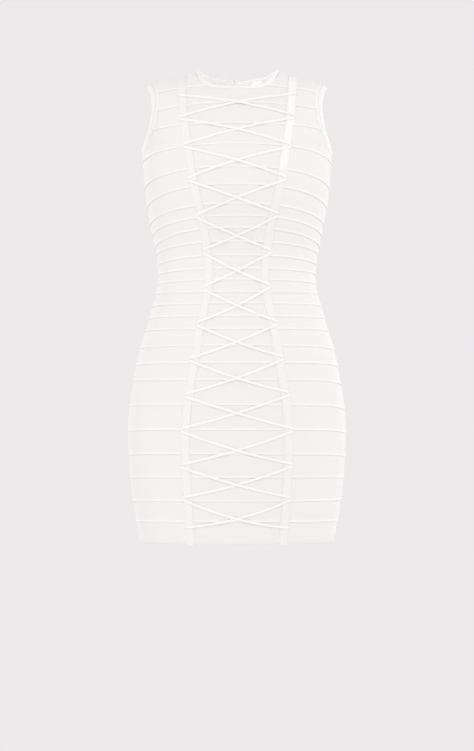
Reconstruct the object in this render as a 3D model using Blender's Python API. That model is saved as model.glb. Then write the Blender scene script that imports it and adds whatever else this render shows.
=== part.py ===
"""Sleeveless bandage mini dress, laced down the front: hollow as worn, held up at the shoulders.

Sizes are in millimetres and become metres when a mesh is made. +Z is up and the front faces -Y.
Left and right are as seen from the front, so right is +X. Heights run up from the hem, and the
origin lies midway between the two shoulder seams.
"""

import math

import bmesh
import bpy
import numpy as np
from mathutils import Matrix

MM = 0.001

# ---- Driving sizes -------------------------------------------------------------------------------

SHOULDER_HEIGHT = 795.0     # middle of a shoulder seam above the hem: the origin's height
WALL = 1.8                  # knitted panel
SEAM = 0.3                  # clearance between two pieces at a seam

ROUNDNESS = 2.3             # exponent of the body's sections: 2 is an ellipse, more is squarer
CLOSING_START = 660.0       # height where the body starts to close towards the shoulder line
BAND_LEAN = 1.4             # how a band's edge climbs from the side seam to the front's middle

LIP = 1.1                   # how far each bandage strip's lower edge stands proud
LIP_RISE = 0.7              # height of the lip's crest above the edge's foot

TAPE_WIDTH = 14.3
TAPE_PROUD = 0.5

ARMHOLE_POWER = 2.2         # roundness of the armhole in side view
BINDING_PROUD = 1.0

LACE_WIDTH = 4.6
LACE_THICKNESS = 2.4
LACE_CLEARANCE = 0.6
LACE_CROSSING = (11.0, 27.0)    # from the middle, where the upper strand is lifted, and where it lies

ZIP_WIDTH = 5.5             # gap between the back panels, filled by the closed chain
ZIP_BOTTOM = 277.8          # where the back panels start to part
ZIP_FULL = 306.6            # where they are fully apart
ZIP_TOP = 790.0
ZIP_THICKNESS = 1.6
ZIP_SUNK = 0.4
SLIDER_HEIGHT = 776.0

LABEL_WIDTH = 24.0
LABEL_DROP = 36.0
LABEL_RISE = 0.8            # how far its top edge lies above the neck binding's seam
LABEL_INNER_EDGE = 22.5     # distance of the label's near edge from the middle of the back
LABEL_THICKNESS = 1.0

WIRE = 0.9                  # hook and eye

FRONT, BACK = -1, 1         # signs of Y


def table(columns, rows):
    """A short table as a dictionary of its named columns."""
    return dict(zip(columns, np.array(rows, float).T))


SECTIONS = table(("height", "half_width", "front_depth", "back_depth"), (
    (0, 166.0, 100.0, 110.0),       # hem
    (70, 178.0, 104.0, 118.0),
    (112, 183.0, 106.0, 123.0),
    (167, 186.5, 109.0, 129.0),     # hips
    (222, 185.5, 110.5, 130.5),
    (263, 179.7, 110.5, 127.0),
    (304, 172.5, 110.0, 119.0),
    (346, 162.5, 107.0, 108.0),
    (373, 153.5, 103.0, 101.0),
    (401, 145.5, 98.5, 95.0),
    (428, 138.0, 94.5, 91.5),
    (456, 134.3, 92.5, 90.0),       # waist
    (483, 137.0, 93.5, 91.5),
    (511, 142.0, 99.0, 95.0),
    (538, 147.5, 107.0, 99.0),
    (566, 152.5, 115.0, 103.0),
    (593, 157.0, 120.5, 106.5),
    (621, 159.5, 122.0, 109.0),     # bust
    (648, 161.5, 119.5, 111.0),
    (680, 161.0, 113.5, 112.0),     # underarm
    (720, 159.5, 103.5, 109.0),
    (760, 167.0, 88.0, 98.0),
    (810, 200.0, 68.0, 77.0),       # shoulders, as wide as the arms they would run into
))

SHOULDER_LINE = table(("half_width", "height"), (
    (0, 836.0),                     # inside the neck, where there is no cloth
    (40, 824.0),
    (62, 811.5),
    (72, 808.0),
    (82, 803.0),
    (95, 797.5),
    (122, 793.5),
    (141, 787.0),
    (154, 780.0),
    (172, 768.0),
))

# Lower edge of each bandage strip, from the neck down: its height in the middle of the front and
# at the side seam. The back's edges are level with the side seam.
BANDS = table(("middle", "side"), (
    (779.0, 764.7),
    (748.4, 732.0),
    (711.2, 701.5),
    (677.5, 652.7),
    (637.6, 607.0),
    (608.1, 570.4),
    (575.1, 541.0),
    (555.0, 524.2),
    (534.4, 504.4),
    (511.2, 492.6),
    (489.7, 474.4),
    (466.5, 459.2),
    (448.5, 442.9),
    (427.7, 427.1),
    (408.2, 406.5),
    (386.7, 385.6),
    (365.8, 363.5),
    (336.6, 335.7),
    (307.9, 306.6),
    (279.1, 277.8),
    (237.0, 235.5),
    (196.0, 192.5),
    (153.0, 152.0),
    (114.0, 113.0),
    (74.5, 74.5),
    (38.5, 37.0),
))

TAPE_EDGE = table(("height", "outer"), (
    (0, 84.5),
    (28, 86.6),
    (79, 90.3),
    (135, 93.0),
    (195, 93.6),
    (254, 87.7),
    (313, 77.8),
    (374, 67.6),
    (437, 55.1),
    (498, 57.4),
    (554, 67.1),
    (616, 81.2),
    (673, 89.8),
    (723, 97.1),
    (763, 100.1),
    (800, 103.0),
))

# Rows of lace ends, from the neck down: height of the ends at the left and right tapes, and of the
# crossing below that row. The last row has no crossing below it.
LACING = table(("left", "right", "crossing"), (
    (762.0, 764.5, 748.5),
    (720.9, 724.1, 701.5),
    (673.3, 673.4, 648.5),
    (616.4, 618.4, 585.8),
    (554.6, 557.8, 522.7),
    (496.4, 496.4, 463.7),
    (434.0, 437.7, 404.4),
    (373.7, 375.1, 343.1),
    (313.2, 316.0, 282.3),
    (253.1, 255.6, 223.3),
    (194.4, 194.4, 160.5),
    (134.0, 135.2, 102.4),
    (78.5, 78.8, 44.7),
    (27.8, 27.0, 0.0),
))
LACE_SPREAD = 2.9           # half the distance between the two ends caught at one place

# How flat the neckline runs before it climbs to the shoulder.
NECK_POWER = {FRONT: 5.0, BACK: 3.0}
# The neck binding's seam and its free edge.
NECK = table(("half_width", "front_height", "back_height"), (
    (71.5, 773.0, 795.0),
    (66.0, 777.5, 800.0),
))

# The armhole's free edge in side view, and the binding's width on the cloth.
ARMHOLE_DEPTH = {FRONT: 43.0, BACK: 47.0}
ARMHOLE_TAPER = 0.15        # share by which it narrows to the shoulder and widens to the underarm
ARMHOLE_BOTTOM = 675.0
ARMHOLE_TOP_AT = 154.0      # half the width between the two shoulder tips
ARMHOLE_BINDING = 11.5
ARMHOLE_SEAM = 0.45         # clearance beside it, as it turns tightly at the shoulder

# ---- The body's form -----------------------------------------------------------------------------


class Curve:
    """Natural cubic spline through a table's column, read by calling it."""

    def __init__(self, at, values):
        self.at, self.values = at, values
        step = np.diff(at)
        slope = np.diff(values) / step
        size = len(at)
        matrix, right = np.eye(size), np.zeros(size)
        for i in range(1, size - 1):
            matrix[i, i - 1:i + 2] = step[i - 1], 2 * (step[i - 1] + step[i]), step[i]
            right[i] = 6 * (slope[i] - slope[i - 1])
        self.bend = np.linalg.solve(matrix, right)

    def __call__(self, x):
        i = np.clip(np.searchsorted(self.at, x) - 1, 0, len(self.at) - 2)
        step = self.at[i + 1] - self.at[i]
        a = (self.at[i + 1] - x) / step
        b = 1 - a
        straight = a * self.values[i] + b * self.values[i + 1]
        return straight + ((a**3 - a) * self.bend[i] + (b**3 - b) * self.bend[i + 1]) * step**2 / 6


half_width = Curve(SECTIONS["height"], SECTIONS["half_width"])
depth_of = {
    FRONT: Curve(SECTIONS["height"], SECTIONS["front_depth"]),
    BACK: Curve(SECTIONS["height"], SECTIONS["back_depth"]),
}
shoulder_line = Curve(SHOULDER_LINE["half_width"], SHOULDER_LINE["height"])
tape_outer = Curve(TAPE_EDGE["height"], TAPE_EDGE["outer"])


def tape_inner(height):
    return tape_outer(height) - TAPE_WIDTH


def closing(x, height):
    """1 below the chest, falling to 0 where the surface meets the shoulder line, negative above."""
    climb = np.maximum(height - CLOSING_START, 0) / (shoulder_line(np.abs(x)) - CLOSING_START)
    return 1 - climb**ROUNDNESS


def level(x, y, height):
    """Negative inside the body's form, zero on it, positive outside."""
    depth = np.where(y < 0, depth_of[FRONT](height), depth_of[BACK](height))
    across = 1 - (np.abs(x) / half_width(height))**ROUNDNESS
    return (np.abs(y) / depth)**ROUNDNESS - closing(x, height) * across


def outward(points):
    """Unit normals of the form, from central differences of `level`."""
    x, y, height = np.moveaxis(points, -1, 0)
    step = 0.01
    slope = np.stack((
        level(x + step, y, height) - level(x - step, y, height),
        level(x, y + step, height) - level(x, y - step, height),
        level(x, y, height + step) - level(x, y, height - step),
    ), axis=-1)
    return slope / np.linalg.norm(slope, axis=-1, keepdims=True)


def bisect(inside, low, high):
    """The last value between low and high, from low, for which `inside` holds."""
    for _ in range(40):
        middle = (low + high) / 2
        holds = inside(middle)
        low, high = np.where(holds, middle, low), np.where(holds, high, middle)
    return low


def at_front_view(x, height, side):
    """The form's point with the given place in front view."""
    across = np.maximum(1 - (np.abs(x) / half_width(height))**ROUNDNESS, 0)
    share = (np.maximum(closing(x, height), 0) * across)**(1 / ROUNDNESS)
    return np.stack(np.broadcast_arrays(x, side * depth_of[side](height) * share, height), axis=-1)


def at_side_view(y, height):
    """The form's point, right of the middle, with the given place in side view."""
    x = bisect(lambda reach: level(reach, y, height) <= 0, np.zeros_like(y), half_width(height))
    return np.stack((x, y, height), axis=-1)


# ---- Edges of the openings -----------------------------------------------------------------------


def between(column, share):
    """A binding's size at a share of the way from its seam (0) to its free edge (1)."""
    return column[0] + (column[1] - column[0]) * share


def neckline(x, side, share=0.0, out=0.0):
    """Height of the neckline over x, on the binding or `out` below and outside its seam."""
    reach = between(NECK["half_width"], share) + out
    low = between(NECK["front_height" if side == FRONT else "back_height"], share) - out
    return low + (shoulder_line(reach) - low) * np.minimum(np.abs(x) / reach, 1)**NECK_POWER[side]


def armhole_edge(angle):
    """Points of the right armhole's free edge; the angle runs from the bottom up the front."""
    bottom, top = ARMHOLE_BOTTOM, shoulder_line(ARMHOLE_TOP_AT)
    ahead = np.cos(angle)
    depth = np.where(ahead > 0, ARMHOLE_DEPTH[FRONT], ARMHOLE_DEPTH[BACK])
    up = np.sin(angle)
    rise = np.sign(up) * np.abs(up)**(2 / ARMHOLE_POWER)
    y = -np.sign(ahead) * depth * np.abs(ahead)**(2 / ARMHOLE_POWER) * (1 - ARMHOLE_TAPER * rise)
    return at_side_view(y, (bottom + top) / 2 + (top - bottom) / 2 * rise)


def armhole_ring(angle, inward):
    """The armhole's edge moved a distance inward over the cloth, away from the opening."""
    step = 0.01
    along = armhole_edge(angle + step) - armhole_edge(angle - step)
    edge = armhole_edge(angle)
    aside = np.cross(outward(edge), along)
    moved = edge + aside / np.linalg.norm(aside, axis=-1, keepdims=True) * inward
    return at_side_view(moved[..., 1], moved[..., 2])


class ArmholeSeam:
    """One half of the binding's seam, with the panel's clearance, as a line in side view."""

    STEPS = 121

    def __init__(self, side):
        from_bottom = np.linspace(-math.pi / 2, math.pi / 2, self.STEPS)
        self.angle = from_bottom if side == FRONT else math.pi - from_bottom
        ring = armhole_ring(self.angle, ARMHOLE_BINDING + ARMHOLE_SEAM)
        self.depth = np.maximum(side * ring[:, 1], 0)
        self.height = np.maximum.accumulate(ring[:, 2])

    def depth_at(self, height):
        """How far the seam lies from the side at a height, 0 above and below it."""
        return np.interp(height, self.height, self.depth, left=0.0, right=0.0)

    def angle_at(self, height):
        return np.interp(height, self.height, self.angle)


armhole_seam = {side: ArmholeSeam(side) for side in (FRONT, BACK)}


# ---- Row lines of the panels ---------------------------------------------------------------------

FINE_STEP = 11.0            # largest step of the rows beside an armhole
UNDERARM_STEPS = 6          # rows that round the armhole's bottom
TOP_STEPS = 4               # rows from the first band's edge up to the neck and shoulders
LEAST_STEP = 0.8            # rows that run into the neckline stay this far apart
NECK_CORNERS = np.radians((0, 22, 40, 55, 67, 78, 90))     # closer where the neckline turns


def row_lines():
    """The panels' row lines from the hem up, each with its middle, side, rise, lip and top share."""
    lines = [(0.0, 0.0, 0.0, 0.0, 0.0)]
    below = np.zeros(2)
    for edge in np.column_stack((BANDS["middle"], BANDS["side"]))[::-1]:
        gap = edge[1] - below[1]
        bottom = armhole_seam[FRONT].height[0] - 1
        shares = ()
        if below[1] > bottom:
            shares = np.arange(1, math.ceil(gap / FINE_STEP)) / math.ceil(gap / FINE_STEP)
        elif edge[1] > bottom:
            start = (bottom - below[1]) / gap
            shares = start + (1 - start) * (np.arange(UNDERARM_STEPS) / UNDERARM_STEPS)**2
        for share in shares:
            fade = LIP * (1 - share)
            lines.append((*(below + (edge - below) * share), 0.0, fade, 0.0))
        lines.append((*edge, 0.0, 0.0, 0.0))
        lines.append((*edge, LIP_RISE, LIP, 0.0))
        below = edge
    for step in range(1, TOP_STEPS + 1):
        share = step / TOP_STEPS
        lines.append((*below, 0.0, LIP * (1 - share) / 2, share))
    return table(("middle", "side", "rise", "lip", "top_share"), lines)


def plain_rows(lines):
    """Rows that a panel's plain inside and the tapes share: all but the crests of the lips."""
    return np.flatnonzero(lines["rise"] == 0)


def placed(lines, angle, side):
    """Points on the row lines; the angle runs from 0 at the side to 90 degrees in the middle."""
    middle, edge, rise, top_share = (
        lines[key][:, None] for key in ("middle", "side", "rise", "top_share"))
    in_depth = np.sin(angle)**(2 / ROUNDNESS)
    across = np.cos(angle)**(2 / ROUNDNESS)
    lean = in_depth**BAND_LEAN if side == FRONT else 0.0
    line = edge + (middle - edge) * lean + rise
    height = line
    for _ in range(8):
        x = across * half_width(height)
        neck = x < NECK["half_width"][0] + SEAM
        top = np.where(neck, neckline(x, side, out=SEAM), shoulder_line(x))
        height = line + (top - line) * np.sin(top_share * math.pi / 2)
        height[-1] = top[-1]
        for row in range(len(height) - 2, -1, -1):
            height[row] = np.minimum(height[row], height[row + 1] - LEAST_STEP)
    depth = depth_of[side](height) * np.maximum(closing(x, height), 0)**(1 / ROUNDNESS) * in_depth
    return np.stack((x, side * depth, height), axis=-1)


def angles_at(lines, side, distance):
    """The angle on each row line at which it is `distance(height)` from the middle."""
    def inside(angle):
        points = placed(lines, angle, side)
        return points[..., 0] >= distance(points[..., 2])
    size = (len(lines["side"]), 1)
    return bisect(inside, np.zeros(size), np.full(size, math.pi / 2))


def angles_at_side(lines, side):
    """The angle on each row line at the armhole, or 0 at the side seam below it."""
    def inside(angle):
        points = placed(lines, angle, side)
        return np.abs(points[..., 1]) >= armhole_seam[side].depth_at(points[..., 2])
    size = (len(lines["side"]), 1)
    return bisect(inside, np.full(size, math.pi / 2), np.zeros(size))


def panel_grid(lines, side, start, end, columns, top_x=None):
    """Grid of a panel's points between two angles on each row line.

    Low down the columns are evenly spaced; near the top they run to the places `top_x`.
    """
    share = np.linspace(0, 1, columns)[None, :] + np.zeros_like(start)
    if top_x is not None:
        top_line = {key: values[-1:] for key, values in lines.items()}
        wanted = np.array([angles_at(top_line, side, lambda _: reach)[0, 0] for reach in top_x])
        fitted = (wanted - start[-1]) / (end[-1] - start[-1])
        fitted[0], fitted[-1] = 0, 1
        blend = np.clip((lines["side"] / 150 - 4), 0, 1)[:, None]
        blend[lines["top_share"] > 0] = 1
        share = share + (fitted - share) * blend
    points = placed(lines, start + (end - start) * share, side)
    points[..., 1] = side * np.maximum(np.abs(points[..., 1]), SEAM / 2)
    return points


# ---- Meshes --------------------------------------------------------------------------------------


def material(name, colour, roughness, metallic=0.0):
    """A plain Principled material."""
    made = bpy.data.materials.new(name)
    made.use_nodes = True
    shader = made.node_tree.nodes["Principled BSDF"]
    shader.inputs["Base Color"].default_value = (*colour, 1.0)
    shader.inputs["Roughness"].default_value = roughness
    shader.inputs["Metallic"].default_value = metallic
    made.diffuse_color = (*colour, 1.0)
    return made


def add_object(name, points, faces, finish):
    """A closed mesh in the row's frame, from points in millimetres above the hem."""
    points = np.asarray(points, float) - (0.0, 0.0, SHOULDER_HEIGHT)
    mesh = bpy.data.meshes.new(name)
    mesh.from_pydata((points * MM).tolist(), [], faces)
    shape = bmesh.new()
    shape.from_mesh(mesh)
    bmesh.ops.recalc_face_normals(shape, faces=shape.faces)
    shape.to_mesh(mesh)
    shape.free()
    mesh.materials.append(finish)
    made = bpy.data.objects.new(name, mesh)
    bpy.context.scene.collection.objects.link(made)
    return made


def add_wall(name, points, finish, raised, kept=None, inward=WALL):
    """A closed cloth wall over a grid of points on the form.

    Its outer face stands `raised` off the form. Its inner face lies `inward` and keeps some rows.
    """
    rows, columns = points.shape[:2]
    kept = list(range(rows)) if kept is None else kept
    normal = outward(points)
    outer = points + normal * np.reshape(raised, (-1, 1, 1))
    inner = points[kept] - normal[kept] * inward

    def out(row, column):
        return row * columns + column

    def within(row, column):
        return (rows + row) * columns + column

    faces = []
    for corner, count in ((out, rows), (within, len(kept))):
        for row in range(count - 1):
            for column in range(columns - 1):
                faces.append((corner(row, column), corner(row, column + 1),
                              corner(row + 1, column + 1), corner(row + 1, column)))
    for row, inner_row in ((0, 0), (rows - 1, len(kept) - 1)):
        for column in range(columns - 1):
            faces.append((out(row, column), out(row, column + 1),
                          within(inner_row, column + 1), within(inner_row, column)))
    for column in (0, columns - 1):
        for step, (low, high) in enumerate(zip(kept, kept[1:])):
            run = [out(row, column) for row in range(low, high + 1)]
            faces.append((*run, within(step + 1, column), within(step, column)))
    stacked = np.concatenate((outer.reshape(-1, 3), inner.reshape(-1, 3)))
    return add_object(name, stacked, faces, finish)


def add_sweep(name, rings, finish, closed=False):
    """A solid through rings of points, which meet end to end or are capped."""
    count, around = rings.shape[:2]
    faces = []
    for ring in range(count if closed else count - 1):
        following = (ring + 1) % count
        for step in range(around):
            beside = (step + 1) % around
            faces.append((ring * around + step, ring * around + beside,
                          following * around + beside, following * around + step))
    if not closed:
        faces.append(tuple(range(around)))
        faces.append(tuple((count - 1) * around + step for step in range(around)))
    return add_object(name, rings.reshape(-1, 3), faces, finish)


def mirrored(points):
    return points * (-1.0, 1.0, 1.0)


# ---- Panels and tapes ----------------------------------------------------------------------------


def neck_columns(inner, outer):
    """Places of a panel's columns on its top row: round the neckline, then along the shoulder."""
    round_neck = (NECK["half_width"][0] + SEAM) * np.sin(NECK_CORNERS[1:])
    return np.concatenate(([inner], round_neck, outer))


def front_centre(finish):
    """The laced panel between the tapes."""
    lines = row_lines()
    seam = angles_at(lines, FRONT, lambda height: tape_inner(height) - SEAM / 2)
    middle = np.full_like(seam, math.pi / 2)
    columns = neck_columns(0.0, (tape_inner(800.0),))
    right = panel_grid(lines, FRONT, middle, seam, len(columns), columns)
    right[:, 0, 0] = 0
    points = np.concatenate((mirrored(right)[:, :0:-1], right), axis=1)
    add_wall("front_centre", points, finish, lines["lip"], plain_rows(lines))


def front_side(finish):
    """The panels from each tape to the side seam, the armhole and the shoulder seam."""
    lines = row_lines()
    start = angles_at(lines, FRONT, lambda height: tape_outer(height) + SEAM / 2)
    points = panel_grid(lines, FRONT, start, angles_at_side(lines, FRONT), 7)
    add_wall("front_side_right", points, finish, lines["lip"], plain_rows(lines))
    add_wall("front_side_left", mirrored(points), finish, lines["lip"], plain_rows(lines))
    return points[:, -1]


def half_zip_gap(height):
    return np.interp(height, (ZIP_BOTTOM, ZIP_FULL), (SEAM / 2, ZIP_WIDTH / 2))


def back(finish):
    """The two back panels, apart by the zip's width down to its end."""
    lines = row_lines()
    end = angles_at_side(lines, BACK)
    start = angles_at(lines, BACK, half_zip_gap)
    shoulder_end = ARMHOLE_TOP_AT - ARMHOLE_BINDING
    columns = neck_columns(ZIP_WIDTH / 2, (107.0, shoulder_end))
    points = panel_grid(lines, BACK, start, end, len(columns), columns)
    add_wall("back_right", points, finish, lines["lip"], plain_rows(lines))
    add_wall("back_left", mirrored(points), finish, lines["lip"], plain_rows(lines))
    return points[:, -1]


def tapes(finish):
    """The flat tapes that cover the princess seams from the shoulders to the hem."""
    lines = row_lines()
    lines = {key: values[plain_rows(lines)] for key, values in lines.items()}
    inner = angles_at(lines, FRONT, lambda height: tape_inner(height) + SEAM / 2)
    outer = angles_at(lines, FRONT, lambda height: tape_outer(height) - SEAM / 2)
    points = panel_grid(lines, FRONT, inner, outer, 3)
    add_wall("tape_right", points, finish, TAPE_PROUD)
    add_wall("tape_left", mirrored(points), finish, TAPE_PROUD)


# ---- Bindings ------------------------------------------------------------------------------------

# Round a binding's section: share of the way from seam to free edge, and distance off the form.
BINDING_SECTION = (
    (0.00, 0.2),
    (0.18, BINDING_PROUD),
    (0.80, BINDING_PROUD),
    (1.00, 0.3),
    (1.00, 0.2 - WALL),
    (0.00, -WALL),
)


def neck_binding(finish):
    """The binding round the neck, open in the middle of the back."""
    rings = []
    for share, lift in BINDING_SECTION:
        x = between(NECK["half_width"], share) * np.sin(NECK_CORNERS)
        half_gap = ZIP_WIDTH / 2 + SEAM
        rear_x = np.maximum(x, half_gap)
        rear = at_front_view(rear_x, neckline(rear_x, BACK, share), BACK)
        fore = at_front_view(x, neckline(x, FRONT, share), FRONT)[:-1]
        half = np.concatenate((rear, fore[::-1]))
        loop = np.concatenate((half, mirrored(half[-2::-1])))
        loop[..., 1] += np.where(np.abs(loop[..., 1]) < SEAM, 1e-3, 0)
        rings.append(loop + outward(loop) * lift)
    add_sweep("neck_binding", np.stack(rings, axis=1), finish)


def armhole_bindings(finish, edges):
    """Closed bindings whose corners face those of the panels' own armhole edges."""
    angles = []
    for side in (FRONT, BACK):
        height = edges[side][np.abs(edges[side][:, 1]) > SEAM, 2]
        on_side = armhole_seam[side].angle_at(height)
        end = -math.pi / 2 if side == FRONT else math.pi / 2
        angles.append(np.concatenate(([end], on_side if side == FRONT else on_side[::-1])))
    angle = np.concatenate(angles)
    rings = []
    for share, lift in BINDING_SECTION:
        loop = armhole_ring(angle, ARMHOLE_BINDING * (1 - share))
        rings.append(loop + outward(loop) * lift)
    section = np.stack(rings, axis=1)
    add_sweep("armhole_binding_right", section, finish, closed=True)
    add_sweep("armhole_binding_left", mirrored(section), finish, closed=True)


# ---- Lacing --------------------------------------------------------------------------------------

LACE_STEPS = 11
LACE_SIDES = 6


def lace(name, start, end, crossing, lifted, finish):
    """One strand from tape to tape over the front, from `start` to `end` in front view.

    It bows so that its middle has the crossing's height, and the upper strand lifts there.
    """
    share = np.linspace(0, 1, LACE_STEPS)
    x = start[0] + (end[0] - start[0]) * share
    height = start[1] + (end[1] - start[1]) * share
    middle = start[1] + (end[1] - start[1]) * (0 - start[0]) / (end[0] - start[0])
    height = height + (crossing - middle) * 4 * share * (1 - share)
    on_tape = np.clip((np.abs(x) - tape_inner(height)) / TAPE_WIDTH + 0.5, 0, 1)
    lift = (LIP + (TAPE_PROUD - LIP) * on_tape) + LACE_CLEARANCE + LACE_THICKNESS / 2
    if lifted:
        lifted_to, lies_from = LACE_CROSSING
        near = np.clip((lies_from - np.abs(x)) / (lies_from - lifted_to), 0, 1)
        lift = lift + (LACE_THICKNESS + SEAM) * np.sin(near * math.pi / 2)**2
    points = at_front_view(x, height, FRONT)
    normal = outward(points)
    path = points + normal * lift[:, None]
    along = np.gradient(path, axis=0)
    across = np.cross(normal, along)
    across /= np.linalg.norm(across, axis=-1, keepdims=True)
    turn = np.arange(LACE_SIDES) * 2 * math.pi / LACE_SIDES
    rings = (path[:, None] + across[:, None] * (np.cos(turn) * LACE_WIDTH / 2)[None, :, None]
             + normal[:, None] * (np.sin(turn) * LACE_THICKNESS / 2)[None, :, None])
    add_sweep(name, rings, finish)


def lacing(finish):
    """Thirteen crossings: one strand of each falls to the right and lies over the other."""
    def end_at(row, side, spread):
        height = LACING[side][row] + spread
        reach = tape_outer(height) - SEAM
        return (reach if side == "right" else -reach, height)
    for row in range(len(LACING["left"]) - 1):
        crossing = LACING["crossing"][row]
        for kind, near, far in (("over", "left", "right"), ("under", "right", "left")):
            start = end_at(row, near, -LACE_SPREAD if row else 0.0)
            end = end_at(row + 1, far, LACE_SPREAD)
            lace(f"lace_{kind}_{row + 1:02d}", start, end, crossing, kind == "over", finish)


# ---- Back closure and label ----------------------------------------------------------------------

ZIP_STEP = 20.0


def zip_chain(finish):
    """The closed chain between the back panels."""
    count = round((ZIP_TOP - ZIP_FULL) / ZIP_STEP)
    foot = (ZIP_BOTTOM * 3 + ZIP_FULL) / 4
    height = np.concatenate(([foot], np.linspace(ZIP_FULL, ZIP_TOP, count)))[:, None]
    x = np.array((-1.0, 0.0, 1.0))[None, :] * (half_zip_gap(height) - SEAM)
    points = at_front_view(x, height + 0 * x, BACK)
    add_wall("zip_chain", points, finish, -ZIP_SUNK, inward=ZIP_SUNK + ZIP_THICKNESS)


def box(shape, low, high):
    """Adds a box to a bmesh."""
    corners = [
        shape.verts.new((x, y, z)) for x in (low[0], high[0])
        for y in (low[1], high[1]) for z in (low[2], high[2])]
    for face in ((0, 1, 3, 2), (4, 6, 7, 5), (0, 4, 5, 1), (2, 3, 7, 6), (0, 2, 6, 4), (1, 5, 7, 3)):
        shape.faces.new([corners[i] for i in face])


def extruded(name, outline, low, high, axis, finish):
    """A solid from a closed outline in the two axes that are not `axis`, in local millimetres."""
    shape = bmesh.new()
    rings = []
    for place in (low, high):
        rings.append([shape.verts.new(np.insert(point, axis, place)) for point in outline])
    shape.faces.new(rings[0])
    shape.faces.new(rings[1])
    for step in range(len(outline)):
        beside = (step + 1) % len(outline)
        shape.faces.new((rings[0][step], rings[0][beside], rings[1][beside], rings[1][step]))
    return finished(name, shape, finish)


def finished(name, shape, finish):
    bmesh.ops.recalc_face_normals(shape, faces=shape.faces)
    mesh = bpy.data.meshes.new(name)
    shape.to_mesh(mesh)
    shape.free()
    mesh.materials.append(finish)
    made = bpy.data.objects.new(name, mesh)
    bpy.context.scene.collection.objects.link(made)
    return made


SLIDER_WIDTH = 7.0
SLIDER_LENGTH = 9.0
SLIDER_BASE = (0.5, 2.0)    # distances of the slider's plate off the form
BRIDGE_WIDTH = 1.6
BRIDGE_REACH = 3.4          # half the bridge's length along the chain
BRIDGE_TOP = 4.9
BRIDGE_BAR = 0.9
PIVOT_ALONG = -1.6          # the pull's bar rests against the bridge's lower leg
PIVOT_OFF = 3.0
PULL_LENGTH = 21.0
PULL_WIDTH = 4.6
PULL_THICKNESS = 0.9
PULL_WINDOW = (2.6, 3.6)    # width and length of the pull's eye
PULL_BAR = 0.9


def slider_frame():
    """Matrix from the slider's own axes (across, up the chain, off the cloth) to the row's frame."""
    point = at_front_view(np.array([0.0]), np.array([SLIDER_HEIGHT]), BACK)
    off = outward(point)[0]
    up = np.array((0.0, -off[2], off[1]))
    up *= math.copysign(1.0, up[2])
    across = np.cross(up, off)
    turned = Matrix(np.column_stack((across, up, off)).tolist()).to_4x4()
    place = (point[0] - (0.0, 0.0, SHOULDER_HEIGHT)) * MM
    return Matrix.Translation(place.tolist()) @ turned @ Matrix.Scale(MM, 4)


def zip_slider(finish, frame):
    """The slider's plate with the bridge that carries the pull."""
    reach, top, bar = BRIDGE_REACH, BRIDGE_TOP, BRIDGE_BAR
    foot = SLIDER_BASE[1] - 0.5
    under = top - 1.4 * bar
    outline = (
        (-reach, foot), (-reach, top - bar), (bar - reach, top), (reach - bar, top),
        (reach, top - bar), (reach, foot), (reach - bar, foot), (reach - bar, under),
        (bar - reach, under), (bar - reach, foot))
    bridge = extruded("bridge", outline, -BRIDGE_WIDTH / 2, BRIDGE_WIDTH / 2, 0, finish)
    bridge.hide_render = True
    bridge.display_type = "WIRE"
    half = SLIDER_WIDTH / 2
    plate = (
        (-0.6 * half, -SLIDER_LENGTH / 2), (0.6 * half, -SLIDER_LENGTH / 2), (half, 0.0),
        (half, SLIDER_LENGTH / 2), (-half, SLIDER_LENGTH / 2), (-half, 0.0))
    slider = extruded("zip_slider", plate, *SLIDER_BASE, 2, finish)
    union = slider.modifiers.new("bridge", "BOOLEAN")
    union.operation = "UNION"
    union.object = bridge
    bridge.data.transform(frame)
    slider.data.transform(frame)


def zip_pull(finish, frame):
    """The pull tab, hanging down the back from its bar inside the slider's bridge."""
    width, length = PULL_WINDOW
    half, depth = PULL_WIDTH / 2, PULL_THICKNESS / 2
    top = PIVOT_ALONG + PULL_BAR / 2
    window = top - PULL_BAR
    end = top - PULL_LENGTH
    eye_end = window - length
    right_edge = (
        (half - 0.6, top), (half, top - 0.6), (half, eye_end - 1.2), (0.75 * half, eye_end - 4),
        (half, end + 1.4), (half - 1.4, end))
    outer = (*right_edge, *((-x, along) for x, along in reversed(right_edge)))
    pull = extruded("zip_pull", outer, PIVOT_OFF - depth, PIVOT_OFF + depth, 2, finish)
    cutter_shape = bmesh.new()
    box(cutter_shape, (-width / 2, eye_end, PIVOT_OFF - 2), (width / 2, window, PIVOT_OFF + 2))
    cutter = finished("eye_cutter", cutter_shape, finish)
    cutter.hide_render = True
    cutter.display_type = "WIRE"
    cut = pull.modifiers.new("eye", "BOOLEAN")
    cut.operation = "DIFFERENCE"
    cut.object = cutter
    cutter.data.transform(frame)
    pull.data.transform(frame)


def wire(name, route, finish):
    """A bent wire inside the back neck; its route is across, up and inwards from the binding's seam."""
    points = []
    for across, up, inwards in route:
        height = neckline(across, BACK, share=0.5) + up
        on_form = at_front_view(np.array([float(across)]), np.array([float(height)]), BACK)
        points.append((on_form - outward(on_form) * (WALL + inwards))[0])
    curve = bpy.data.curves.new(name, "CURVE")
    curve.dimensions = "3D"
    curve.bevel_depth = WIRE / 2 * MM
    curve.bevel_resolution = 1
    curve.use_fill_caps = True
    spline = curve.splines.new("POLY")
    spline.points.add(len(points) - 1)
    for target, (x, y, height) in zip(spline.points, points):
        target.co = (x * MM, y * MM, (height - SHOULDER_HEIGHT) * MM, 1)
    curve.materials.append(finish)
    bpy.context.scene.collection.objects.link(bpy.data.objects.new(name, curve))


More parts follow.
